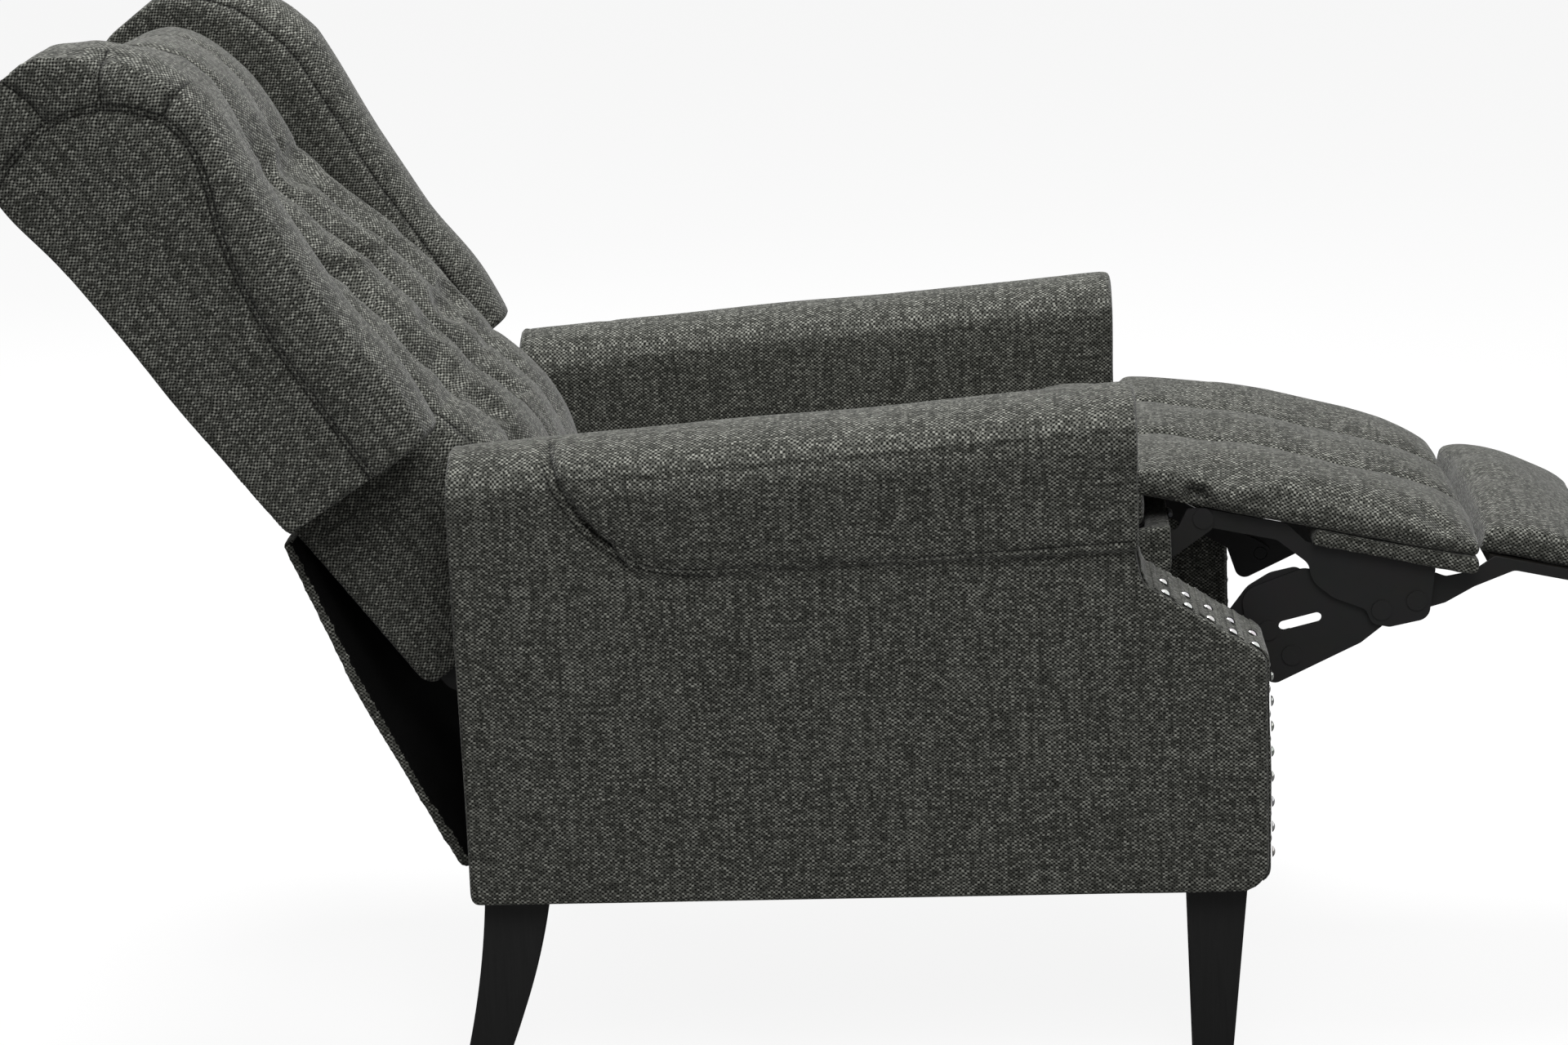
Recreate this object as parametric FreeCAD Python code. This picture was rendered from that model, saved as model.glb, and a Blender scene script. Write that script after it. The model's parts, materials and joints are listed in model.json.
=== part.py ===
"""Push-back wing recliner, lying back with its footrest and extension out. Millimetres."""
import FreeCAD
import Part
import math
import os
from FreeCAD import Vector

# base box between floor and arms
BASE_DEPTH = 700.0
BASE_WIDTH = 700.0
ARM_WIDTH = 112.0
LEG_HEIGHT = 180.0
ARM_REAR_RISE = 400.0
ARM_FRONT_RISE = 443.0
ARM_SETBACK = 112.0
FACE_RISE = 212.0
SLOPE_RISE = 66.0
SLOPE_RUN = 106.0
BOARD = 28.0
FRAME_DROP = 70.0
FRAME_INSET = 13.0
FRAME_TOP_INSET = 34.0
FACING = 3.0
ARM_CROWN = 34.0

# rolled arm pad
ROLL = 20.0
ROLL_DEPTH = 134.0
ROLL_SEAM_FALL = 17.0
ROLL_REAR_TOP = 79.0
ROLL_REAR_LOW = 166.0

# nailheads
NAIL_RADIUS = 5.0
NAIL_RISE = 2.4
NAIL_PITCH = 22.5
NAIL_EDGE = 10.0
NAIL_ROW_GAP = 40.0

# legs
LEG_TOP = 52.0
LEG_FOOT = 32.0
LEG_INSET = 25.0
FRONT_LEG_SETBACK = 20.5
REAR_LEG_SETBACK = 10.5
REAR_LEG_SWEEP = 32.0
LEG_BOLT_RADIUS = 4.0
LEG_BOLT_REACH = 30.0

# steel plates stand side by side in layers, counted inward from the arm
PLATE = 4.0
LAYER_PITCH = 6.0
SIDE_CLEARANCE = 8.0
PIN_RADIUS = 6.0
PIN_FIT = 0.05
OPEN_FIT = 0.5
HEAD_RADIUS = 9.0
HEAD = 1.6
EAR = 14.0

# base rails and cross rails
CROSS_RAIL = 25.0
CROSS_RAIL_HEIGHT = 64.0
CROSS_RAIL_LIFT = 6.0
FRONT_RAIL_X = 380.0
RAIL_HEIGHT = 26.0
RAIL_MARGIN = 5.0

# rear pivot, lift link and flap hinge
PIVOT_IN = 62.0
PIVOT_RISE = 151.0
SHAFT_RADIUS = 8.0
PIVOT_EAR = 22.0
LIFT_IN = 450.0
LIFT_RISE = 90.0
LIFT_LENGTH = 120.0
LIFT_ANGLE = 41.3
LIFT_SLOT_RUN = 22.2
LIFT_SLOT_RISE = 2.5
LIFT_SLOT_RADIUS = 8.0
FLAP_HINGE_OUT = 12.0
FLAP_HINGE_RISE = 10.0
FLAP_THICK = 10.0
FLAP_SIDE = 10.0
FLAP_ROD_RADIUS = 3.0
FLAP_LUG = 20.0
FLAP_LUG_SPREAD = 170.0

# seat
SEAT_REACH = 588.0
SEAT_RISE = 153.0
DECK_SLOPE = 8.4
DECK_FRONT_BACK = 15.0
PLATE_NOSE = 9.0
DECK_DROP = 2.0
DECK_LENGTH = 490.0
SEAT_RAIL = 14.0
SEAT_RAIL_HEIGHT = 36.0
SEAT_CROSS_RAIL = 23.0
SEAT_PAD_REAR = 75.0
SEAT_PAD_FRONT = 58.0
SEAT_PAD_OVERHANG = 9.0
SPRING_RADIUS = 2.0
SPRING_COUNT = 5
CUSHION_SIDE_GAP = 8.0
DECK_BOLTS = (0.355, 0.61, 0.865)
CHANNEL_DIP = 9.0
CHANNEL_EDGE_DIP = 15.0
SIDE_DRAW = 9.0
SEAT_GAP = 0.5

# footrest, measured along and square to its board
REST_SLOPE = 12.0
REST_LENGTH = 246.0
REST_PAD_BACK = 24.0
REST_PAD = 40.0
REST_BOARD = 15.0
REST_BOARD_START = 98.0
REST_PAD_SEAT = 10.0
REST_BOARD_SIDE = 5.0
STRAP = 8.0
CARRIER_U = 171.9
CARRIER_W = -53.4
CARRIER_REACH = 139.0
CARRIER_SLOT_RADIUS = 4.5
EXT_U = 200.5
EXT_W = -39.2
FOLLOW_X = -79.0
FOLLOW_Z = -41.0
LINK_HALF = 10.0

# extension flap, measured from its hinge in the same slope as the board
EXT_START = 50.5
EXT_LENGTH = 126.0
EXT_PAD_SEAT = 48.0
EXT_PAD_SIDE = 28.0
EXT_PAD_CROWN = 44.0
EXT_BOARD = 8.0
EXT_BOARD_INSET = 8.0

# back, measured from the rear pivot: n square to the back, s up along it
BACK_LEAN = 37.77
BACK_REAR = -72.0
BACK_BOTTOM = 76.0
BACK_TOP = 690.0
COVER = 8.0
COVER_SIDE = 3.0
POST = 20.0
POST_DEPTH = 30.0
BACK_RAIL = 50.0
BACK_SWELL = 108.0
BACK_LOW_EDGE = 104.0
BRACKET_TOP = 240.0
STRAP_WIDTH = 50.0
STRAP_THICK = 2.0
STRAP_COUNT = 6
BACK_EDGE = 3.0
BACK_PROFILE = (
    (0.0, 0.685), (0.055, 0.907), (0.106, 1.0), (0.198, 0.935), (0.375, 0.787),
    (0.546, 0.657), (0.737, 0.546), (0.915, 0.519), (0.969, 0.37), (1.0, 0.074),
)
TUFT_RADIUS = 34.0
TUFT_DEPTH = 11.0
TUFT_PITCH_Y = 105.0
TUFT_PITCH_S = 88.0
TUFT_TOP = 190.0

# wings
WING_INSET = 10.0
WING_REAR = -47.0
WING_BOTTOM_REAR = 274.0
WING_BOTTOM_FRONT = 256.0
WING_HEIGHT = 455.0
WING_DEPTH = 140.0
WING_CREST_IN = 52.0
WING_ROUND = 44.0
WING_GAP = 0.3

REAR_X = -BASE_DEPTH / 2
FRONT_X = BASE_DEPTH / 2
HALF = BASE_WIDTH / 2
INNER = HALF - ARM_WIDTH
CREST_Y = (HALF + INNER) / 2
CROSS_TOP = LEG_HEIGHT + CROSS_RAIL_LIFT + CROSS_RAIL_HEIGHT
PIVOT = Vector(REAR_X + PIVOT_IN, 0, LEG_HEIGHT + PIVOT_RISE)
SEAT_HINGE = PIVOT + Vector(SEAT_REACH, 0, SEAT_RISE)
LIFT_PIVOT = Vector(REAR_X + LIFT_IN, 0, LEG_HEIGHT + LIFT_RISE)
LIFT_PIN = LIFT_PIVOT + Vector(
    LIFT_LENGTH * math.cos(math.radians(LIFT_ANGLE)), 0,
    LIFT_LENGTH * math.sin(math.radians(LIFT_ANGLE)))
FLAP_HINGE = Vector(REAR_X - FLAP_HINGE_OUT, 0, LEG_HEIGHT + FLAP_HINGE_RISE)

shapes = {}


def layer(index):
    """Inner and outer distance from the middle of a plate layer."""
    outer = INNER - SIDE_CLEARANCE - index * LAYER_PITCH
    return outer - PLATE, outer


def add(name, shape):
    shapes[name] = shape


def add_pair(name, shape):
    """A left piece and its mirror image on the right."""
    shapes["left_" + name] = shape
    shapes["right_" + name] = mirrored(shape)


def mirrored(shape):
    return shape.mirror(Vector(0, 0, 0), Vector(0, 1, 0))


def both_sides(shape):
    return [shape, mirrored(shape)]


def placed(shape, origin, slope):
    """Moves a shape drawn flat to its origin, turned nose down by slope degrees."""
    out = shape.copy()
    out.Placement = FreeCAD.Placement(origin, FreeCAD.Rotation(Vector(0, 1, 0), slope))
    return out


def in_back(shape):
    return placed(shape, PIVOT, -BACK_LEAN)


def in_rest(shape):
    return placed(shape, SEAT_HINGE, REST_SLOPE)


def in_extension(shape):
    return placed(shape, rest_point(EXT_U, EXT_W), REST_SLOPE)


def rest_point(u, w):
    turn = FreeCAD.Rotation(Vector(0, 1, 0), REST_SLOPE)
    return SEAT_HINGE + turn.multVec(Vector(u, 0, w))


def rounded_wire(corners, to_point):
    """Closed wire through corners (a, b, radius), each turned by an arc of its radius."""
    count = len(corners)
    turns = []
    for index, (a, b, radius) in enumerate(corners):
        here = Vector(a, b, 0)
        before = Vector(*corners[index - 1][:2], 0) - here
        after = Vector(*corners[(index + 1) % count][:2], 0) - here
        before.normalize()
        after.normalize()
        if radius <= 0:
            turns.append((here, None, here))
            continue
        half = before.getAngle(after) / 2
        reach = radius / math.tan(half)
        middle = before + after
        middle.normalize()
        bulge = radius / math.sin(half) - radius
        turns.append((here + before * reach, here + middle * bulge, here + after * reach))
    edges = []
    for index, (start, middle, end) in enumerate(turns):
        if middle is not None:
            edges.append(Part.Arc(to_point(start), to_point(middle), to_point(end)).toShape())
        following = turns[(index + 1) % count][0]
        if (following - end).Length > 1e-6:
            edges.append(Part.LineSegment(to_point(end), to_point(following)).toShape())
    return Part.Wire(edges)


def side_plate(corners, y_from, y_to):
    """Outline seen from the side, drawn out from y_from to y_to."""
    wire = rounded_wire(corners, lambda p: Vector(p.x, y_from, p.y))
    return Part.Face(wire).extrude(Vector(0, y_to - y_from, 0))


def block(x_range, y_range, z_range):
    low = Vector(x_range[0], y_range[0], z_range[0])
    return Part.makeBox(x_range[1] - low.x, y_range[1] - low.y, z_range[1] - low.z, low)


def cross_pin(centre, radius, y_from, y_to):
    return Part.makeCylinder(radius, y_to - y_from, Vector(centre.x, y_from, centre.z),
                             Vector(0, 1, 0))


def headed_pin(centre, y_from, y_to):
    """A pin with one flat head past its outer end."""
    head = cross_pin(centre, HEAD_RADIUS, y_to, y_to + HEAD)
    return cross_pin(centre, PIN_RADIUS, y_from, y_to).fuse(head).removeSplitter()


def bar(start, end, half, y_from, y_to):
    """Flat bar with round ends between two points seen from the side."""
    along = Vector(end.x - start.x, 0, end.z - start.z)
    along.normalize()
    side = Vector(-along.z, 0, along.x) * half
    tip = along * half

    def at(point):
        return Vector(point.x, y_from, point.z)

    edges = [
        Part.LineSegment(at(start + side), at(end + side)).toShape(),
        Part.Arc(at(end + side), at(end + tip), at(end - side)).toShape(),
        Part.LineSegment(at(end - side), at(start - side)).toShape(),
        Part.Arc(at(start - side), at(start - tip), at(start + side)).toShape(),
    ]
    return Part.Face(Part.Wire(edges)).extrude(Vector(0, y_to - y_from, 0))


def arm_top(x):
    """Height of the arm's crest at x."""
    run = BASE_DEPTH - ARM_SETBACK
    return LEG_HEIGHT + ARM_REAR_RISE + (ARM_FRONT_RISE - ARM_REAR_RISE) * (x - REAR_X) / run


def roll_seam(x):
    """Height of the lower seam of the rolled pad at x."""
    start = REAR_X + ROLL_REAR_LOW
    front = FRONT_X - ARM_SETBACK
    rise = ROLL_SEAM_FALL * (x - start) / (front - start)
    return arm_top(front) - ROLL_DEPTH - ROLL_SEAM_FALL + rise


def side_outline(inset):
    """Outline of the upholstered side below the roll, its front faces set in."""
    front = FRONT_X - inset
    slope_low = LEG_HEIGHT + FACE_RISE
    slope_high = slope_low + SLOPE_RISE
    arm_front = FRONT_X - ARM_SETBACK - inset
    roll_low = REAR_X + ROLL_REAR_LOW
    roll_top = REAR_X + ROLL_REAR_TOP
    return [
        (REAR_X, LEG_HEIGHT, 8),
        (front, LEG_HEIGHT, 26),
        (front, slope_low, 18),
        (front - SLOPE_RUN, slope_high, 12),
        (arm_front, roll_seam(arm_front), 0),
        (roll_low, roll_seam(roll_low), 10),
        (roll_low - 61, roll_seam(roll_low) + 64, 20),
        (roll_top, arm_top(roll_top) + 10, 0),
        (REAR_X, arm_top(REAR_X) + 10, 0),
    ]


def arm_section(x):
    """Section across the arm, square below and crowned on top."""
    top = arm_top(x)
    low = LEG_HEIGHT - 10
    shoulder = top - ARM_CROWN
    points = [Vector(x, INNER, low), Vector(x, HALF, low), Vector(x, HALF, shoulder),
              Vector(x, INNER, shoulder)]
    edges = [
        Part.LineSegment(points[0], points[1]).toShape(),
        Part.LineSegment(points[1], points[2]).toShape(),
        Part.Arc(points[2], Vector(x, CREST_Y, top), points[3]).toShape(),
        Part.LineSegment(points[3], points[0]).toShape(),
    ]
    return Part.Wire(edges)


def frame_board():
    low = LEG_HEIGHT
    rear = REAR_X + FRAME_INSET
    front = FRONT_X - FRAME_INSET
    arm_front = FRONT_X - ARM_SETBACK
    top = roll_seam(REAR_X + ROLL_REAR_LOW) - FRAME_TOP_INSET / 2
    corners = [
        (rear, low, 0),
        (front, low, 10),
        (front, low + FACE_RISE - FRAME_INSET / 2, 20),
        (front - SLOPE_RUN, low + FACE_RISE + SLOPE_RISE - FRAME_INSET / 2, 20),
        (arm_front - FRAME_TOP_INSET, top + FRAME_TOP_INSET / 2, 10),
        (REAR_X + ROLL_REAR_LOW - FRAME_TOP_INSET, top, 10),
        (rear, arm_top(REAR_X) - FRAME_DROP, 20),
    ]
    return side_plate(corners, CREST_Y - BOARD / 2, CREST_Y + BOARD / 2)


def make_sides():
    frame = frame_board()
    add_pair("side_frame", frame)
    rear = REAR_X - 1
    front = FRONT_X + 1
    envelope = Part.makeLoft([arm_section(rear), arm_section(front)], True, True)
    cover = side_plate(side_outline(FACING), INNER, HALF).common(envelope).cut(frame)
    add_pair("side_cover", cover)
    make_facing()
    make_roll()


def make_facing():
    """Fabric strip down the front of each side."""
    region = block((FRONT_X - ARM_SETBACK - 1, FRONT_X + 5),
                   (INNER + 2 * FACING, HALF - FACING),
                   (LEG_HEIGHT + 3 * FACING, roll_seam(FRONT_X - ARM_SETBACK) - 2))
    outer = side_plate(side_outline(0), INNER, HALF).common(region)
    strip = outer.cut(side_plate(side_outline(FACING), INNER, HALF))
    add_pair("front_facing", largest(strip))


def largest(shape):
    return max(shape.Solids, key=lambda solid: solid.Volume)


def roll_section(x, bulge, low, top):
    """Section of the rolled pad: flat seat, bulging side, crowned top, flat inner face."""
    shoulder = top - ARM_CROWN + 6
    outer_low = Vector(x, HALF + 1, low)
    outer_mid = Vector(x, HALF + bulge, (low + shoulder) / 2)
    outer_top = Vector(x, HALF - 2, shoulder)
    inner_top = Vector(x, INNER + 2, shoulder)
    inner_low = Vector(x, INNER, low)
    edges = [
        Part.LineSegment(inner_low, outer_low).toShape(),
        Part.Arc(outer_low, outer_mid, outer_top).toShape(),
        Part.Arc(outer_top, Vector(x, CREST_Y, top), inner_top).toShape(),
        Part.LineSegment(inner_top, inner_low).toShape(),
    ]
    return Part.Wire(edges)


def make_roll():
    """The pad that covers the arm's top and rolls over its outer side."""
    front = FRONT_X - ARM_SETBACK
    rear = REAR_X + ROLL_REAR_TOP
    low = roll_seam(rear) - 2
    stations = [(rear, 3), (rear + 90, ROLL * 0.8), (0, ROLL), (front, ROLL)]
    sections = [roll_section(x, bulge, low, arm_top(x)) for x, bulge in stations]
    pad = Part.makeLoft(sections, True, False)
    below = side_plate(side_outline(-5), INNER - 50, HALF + 50)
    add_pair("arm_pad", largest(pad.cut(below)))


def nail(x, y, z, out):
    """Domed head, flat at the back, its axis along out."""
    ball = (NAIL_RADIUS ** 2 + NAIL_RISE ** 2) / (2 * NAIL_RISE)
    dome = Part.makeSphere(ball, Vector(0, 0, NAIL_RISE - ball))
    dome = dome.common(Part.makeCylinder(NAIL_RADIUS + 1, NAIL_RISE + 1))
    turn = FreeCAD.Rotation(Vector(0, 0, 1), out)
    dome.Placement = FreeCAD.Placement(Vector(x, y, z), turn)
    return dome


def make_nails():
    slope_low = Vector(FRONT_X, 0, LEG_HEIGHT + FACE_RISE)
    slope = Vector(-SLOPE_RUN, 0, SLOPE_RISE)
    slope_length = slope.Length
    along = slope / slope_length
    square = Vector(along.z, 0, -along.x)
    heads = []
    for row in range(2):
        y = HALF - NAIL_EDGE - row * NAIL_ROW_GAP
        on_slope = int((slope_length - 2 * NAIL_EDGE) // NAIL_PITCH) + 1
        for index in range(on_slope):
            spot = slope_low + along * (NAIL_EDGE + NAIL_RADIUS + index * NAIL_PITCH)
            heads.append(nail(spot.x, y, spot.z, square))
        on_face = int((FACE_RISE - 4 * NAIL_EDGE) // NAIL_PITCH) + 1
        for index in range(on_face):
            z = slope_low.z - 2 * NAIL_EDGE - index * NAIL_PITCH
            heads.append(nail(FRONT_X, y, z, Vector(1, 0, 0)))
    add_pair("nailheads", Part.makeCompound(heads))


def make_legs():
    outer = HALF - LEG_INSET
    front = FRONT_X - FRONT_LEG_SETBACK
    top = [(front - LEG_TOP, outer - LEG_TOP), (front, outer)]
    foot_front = front - (LEG_TOP - LEG_FOOT) * 0.8
    foot_out = outer - (LEG_TOP - LEG_FOOT) / 4
    foot = [(foot_front - LEG_FOOT, foot_out - LEG_FOOT), (foot_front, foot_out)]
    leg = Part.makeLoft([square_wire(foot, 0), square_wire(top, LEG_HEIGHT)], True, True)
    rear = REAR_X + REAR_LEG_SETBACK
    foot_rear = rear - REAR_LEG_SWEEP
    sweep = REAR_LEG_SWEEP * 0.34
    points = [Vector(rear, 0, LEG_HEIGHT), Vector(rear - sweep, 0, LEG_HEIGHT / 2),
              Vector(foot_rear, 0, 0), Vector(foot_rear + LEG_FOOT, 0, 0),
              Vector(foot_rear + LEG_FOOT + 34, 0, LEG_HEIGHT * 0.48),
              Vector(rear + LEG_TOP + 3, 0, LEG_HEIGHT)]
    edges = [
        Part.Arc(points[0], points[1], points[2]).toShape(),
        Part.LineSegment(points[2], points[3]).toShape(),
        Part.Arc(points[3], points[4], points[5]).toShape(),
        Part.LineSegment(points[5], points[0]).toShape(),
    ]
    sabre = Part.Face(Part.Wire(edges)).extrude(Vector(0, LEG_TOP - 6, 0))
    sabre.translate(Vector(0, outer - LEG_TOP + 6, 0))
    spots = [(front - LEG_TOP / 2, CREST_Y), (rear + LEG_TOP / 2 + 4, CREST_Y)]
    bolts = []
    for x, y in spots:
        bolt = Part.makeCylinder(LEG_BOLT_RADIUS, 2 * LEG_BOLT_REACH,
                                 Vector(x, y, LEG_HEIGHT - LEG_BOLT_REACH))
        bolts += both_sides(bolt)
    both = Part.makeCompound(bolts)
    add_named_pair("front_left_leg", "front_right_leg", leg.cut(both))
    add_named_pair("rear_left_leg", "rear_right_leg", sabre.cut(both))
    for side in ("left_side_frame", "right_side_frame"):
        shapes[side] = shapes[side].cut(both)
    add("leg_bolts", both)


def add_named_pair(left, right, shape):
    shapes[left] = shape
    shapes[right] = mirrored(shape)


def square_wire(corners, z):
    (x0, y0), (x1, y1) = corners
    loop = [Vector(x0, y0, z), Vector(x1, y0, z), Vector(x1, y1, z), Vector(x0, y1, z)]
    return Part.makePolygon(loop + loop[:1])


def make_cross_rails():
    low = LEG_HEIGHT + CROSS_RAIL_LIFT
    rear = (REAR_X + RAIL_MARGIN, REAR_X + RAIL_MARGIN + CROSS_RAIL)
    front = (REAR_X + FRONT_RAIL_X, REAR_X + FRONT_RAIL_X + CROSS_RAIL)
    add("rear_cross_rail", block(rear, (-INNER, INNER), (low, CROSS_TOP)))
    add("front_cross_rail", block(front, (-INNER, INNER), (low, CROSS_TOP)))


def make_base_rails():
    y_in, y_out = layer(0)
    start = REAR_X + RAIL_MARGIN
    end = LIFT_PIVOT.x + EAR
    upright = side_plate([
        (start, CROSS_TOP, 0),
        (end, CROSS_TOP, 4),
        (end, LIFT_PIVOT.z + EAR, 12),
        (LIFT_PIVOT.x - EAR, LIFT_PIVOT.z + EAR, 12),
        (LIFT_PIVOT.x - 2 * EAR, CROSS_TOP + RAIL_HEIGHT, 8),
        (PIVOT.x + 2 * PIVOT_EAR, CROSS_TOP + RAIL_HEIGHT, 20),
        (PIVOT.x + PIVOT_EAR, PIVOT.z + PIVOT_EAR, 18),
        (PIVOT.x - PIVOT_EAR, PIVOT.z + PIVOT_EAR, 18),
        (start, CROSS_TOP + RAIL_HEIGHT, 8),
    ], y_in, y_out)
    flange = block((start, end), (y_out, INNER), (CROSS_TOP, CROSS_TOP + PLATE))
    rail = upright.fuse(flange).removeSplitter()
    rail = rail.cut(cross_pin(PIVOT, SHAFT_RADIUS, y_in - 1, y_out + 1))
    rail = rail.cut(cross_pin(LIFT_PIVOT, PIN_RADIUS, y_in - 1, y_out + 1))
    screws = []
    for rail_x in (REAR_X + RAIL_MARGIN, REAR_X + FRONT_RAIL_X):
        x = rail_x + CROSS_RAIL / 2
        y = (y_out + INNER) / 2
        shank = Part.makeCylinder(2.0, 20 + PLATE, Vector(x, y, CROSS_TOP - 20))
        head = Part.makeCylinder(3.6, 3, Vector(x, y, CROSS_TOP + PLATE))
        screws.append(shank.fuse(head).removeSplitter())
    shanks = Part.makeCompound(screws)
    rail = rail.cut(shanks)
    add_pair("base_rail", rail)
    pin = cross_pin(LIFT_PIVOT, PIN_RADIUS, layer(1)[0], y_out)
    pin = pin.fuse(cross_pin(LIFT_PIVOT, HEAD_RADIUS, y_out, y_out + HEAD)).removeSplitter()
    loose = [pin] + screws
    add("base_rail_bolts", Part.makeCompound([one for s in loose for one in both_sides(s)]))
    for name in ("rear_cross_rail", "front_cross_rail"):
        shapes[name] = shapes[name].cut(Part.makeCompound(both_sides(shanks)))
    add("rear_pivot_shaft", cross_pin(PIVOT, SHAFT_RADIUS, -y_out - HEAD, y_out + HEAD))


def make_lift_links():
    y_in, y_out = layer(1)
    link = bar(LIFT_PIVOT, LIFT_PIN, EAR - 2, y_in, y_out)
    link = link.cut(cross_pin(LIFT_PIVOT, PIN_RADIUS + PIN_FIT, y_in - 1, y_out + 1))
    stub = cross_pin(LIFT_PIN, PIN_RADIUS, layer(2)[0] - 1, y_in)
    add_pair("lift_link", link.fuse(stub).removeSplitter())


def deck(x):
    """Height of the seat frame's top at x."""
    front = SEAT_HINGE.x - DECK_FRONT_BACK
    return SEAT_HINGE.z - DECK_DROP - (front - x) * math.tan(math.radians(DECK_SLOPE))


def make_seat_frame():
    plate_in, plate_out = layer(2)
    front = SEAT_HINGE.x - DECK_FRONT_BACK
    rear = front - DECK_LENGTH
    rail_out = plate_out + SEAT_RAIL
    corners = [
        (rear, deck(rear) - SEAT_RAIL_HEIGHT, 0),
        (front, deck(front) - SEAT_RAIL_HEIGHT, 0),
        (front, deck(front), 0),
        (rear, deck(rear), 0),
    ]
    rail = side_plate(corners, plate_out, rail_out)
    add("seat_left_rail", rail)
    add("seat_right_rail", mirrored(rail))
    for name, start in (("seat_front_rail", front - SEAT_CROSS_RAIL), ("seat_rear_rail", rear)):
        end = start + SEAT_CROSS_RAIL
        corners = [
            (start, deck(start) - SEAT_RAIL_HEIGHT, 0),
            (end, deck(end) - SEAT_RAIL_HEIGHT, 0),
            (end, deck(end), 0),
            (start, deck(start), 0),
        ]
        add(name, side_plate(corners, -plate_in, plate_in))


def make_springs():
    """Zigzag springs from the front rail to the rear rail, sunk in their tops."""
    front = SEAT_HINGE.x - DECK_FRONT_BACK - SEAT_CROSS_RAIL / 2
    rear = SEAT_HINGE.x - DECK_FRONT_BACK - DECK_LENGTH + SEAT_CROSS_RAIL / 2
    springs = []
    span = 2 * layer(2)[0] * 0.8
    for index in range(SPRING_COUNT):
        y = -span / 2 + index * span / (SPRING_COUNT - 1)
        springs.append(zigzag(rear, front, y))
    wire_room = Part.makeCompound(springs)
    add("seat_springs", wire_room)
    for name in ("seat_front_rail", "seat_rear_rail"):
        shapes[name] = shapes[name].cut(wire_room)


def zigzag(x_from, x_to, y):
    """One spring: straight runs across, joined by half-round turns."""
    steps = 18
    width = 16.0
    pitch = (x_to - x_from) / steps
    slope = Vector(1, 0, math.tan(math.radians(DECK_SLOPE)))
    base = Vector(x_from, y, deck(x_from) - SPRING_RADIUS - SEAT_GAP)
    radius = pitch / 2
    edges = []
    last = base
    for step in range(steps):
        side = 1 if step % 2 else -1
        start = base + slope * (pitch * step) + Vector(0, side * width, 0)
        end = start + slope * pitch
        middle = start + slope * radius + Vector(0, side * radius, 0)
        edges.append(Part.LineSegment(last, start).toShape())
        edges.append(Part.Arc(start, middle, end).toShape())
        last = end
    edges.append(Part.LineSegment(last, base + slope * (pitch * steps)).toShape())
    path = Part.Wire(edges)
    normal = Vector(0, -1, 0)
    ring = Part.Wire(Part.makeCircle(SPRING_RADIUS, base, normal))
    return path.makePipeShell([ring], True, False)


def channel_section(station, low, height, half_width, crown=1.0):
    """Section with three lobes on top, their seams dipped, and drawn-in sides."""
    top = low + height
    dip = CHANNEL_DIP * crown
    edge_dip = CHANNEL_EDGE_DIP * crown
    seam = half_width / 3
    edge = half_width - SIDE_DRAW
    points = {
        "bottom": Vector(station, edge + 1, low),
        "side": Vector(station, half_width, low + (height - edge_dip) / 2),
        "shoulder": Vector(station, edge, top - edge_dip),
        "outer_crest": Vector(station, (edge + seam) / 2, top - dip * 0.25),
        "seam": Vector(station, seam, top - dip),
        "crest": Vector(station, 0, top),
    }

    def other(point):
        return Vector(point.x, -point.y, point.z)

    edges = [
        Part.LineSegment(other(points["bottom"]), points["bottom"]).toShape(),
        Part.Arc(points["bottom"], points["side"], points["shoulder"]).toShape(),
        Part.Arc(points["shoulder"], points["outer_crest"], points["seam"]).toShape(),
        Part.Arc(points["seam"], points["crest"], other(points["seam"])).toShape(),
        Part.Arc(other(points["seam"]), other(points["outer_crest"]),
                 other(points["shoulder"])).toShape(),
        Part.Arc(other(points["shoulder"]), other(points["side"]),
                 other(points["bottom"])).toShape(),
    ]
    return Part.Wire(edges)


def make_seat_cushion():
    front = SEAT_HINGE.x - DECK_FRONT_BACK - SEAT_PAD_OVERHANG
    rear = SEAT_HINGE.x - DECK_FRONT_BACK - DECK_LENGTH - SEAT_PAD_OVERHANG
    half = INNER - CUSHION_SIDE_GAP
    middle = (front + rear) / 2
    stations = [
        (rear, SEAT_PAD_REAR * 0.55, half - 12, 0.4),
        (rear + 30, SEAT_PAD_REAR, half, 1.0),
        (middle, (SEAT_PAD_REAR + SEAT_PAD_FRONT) / 2 + 4, half, 1.0),
        (front - 40, SEAT_PAD_FRONT, half, 1.0),
        (front, SEAT_PAD_FRONT * 0.62, half - 6, 0.5),
    ]
    sections = [channel_section(x, deck(x) + SEAT_GAP, height, width, crown)
                for x, height, width, crown in stations]
    add("seat_cushion", Part.makeLoft(sections, True, False))


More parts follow.
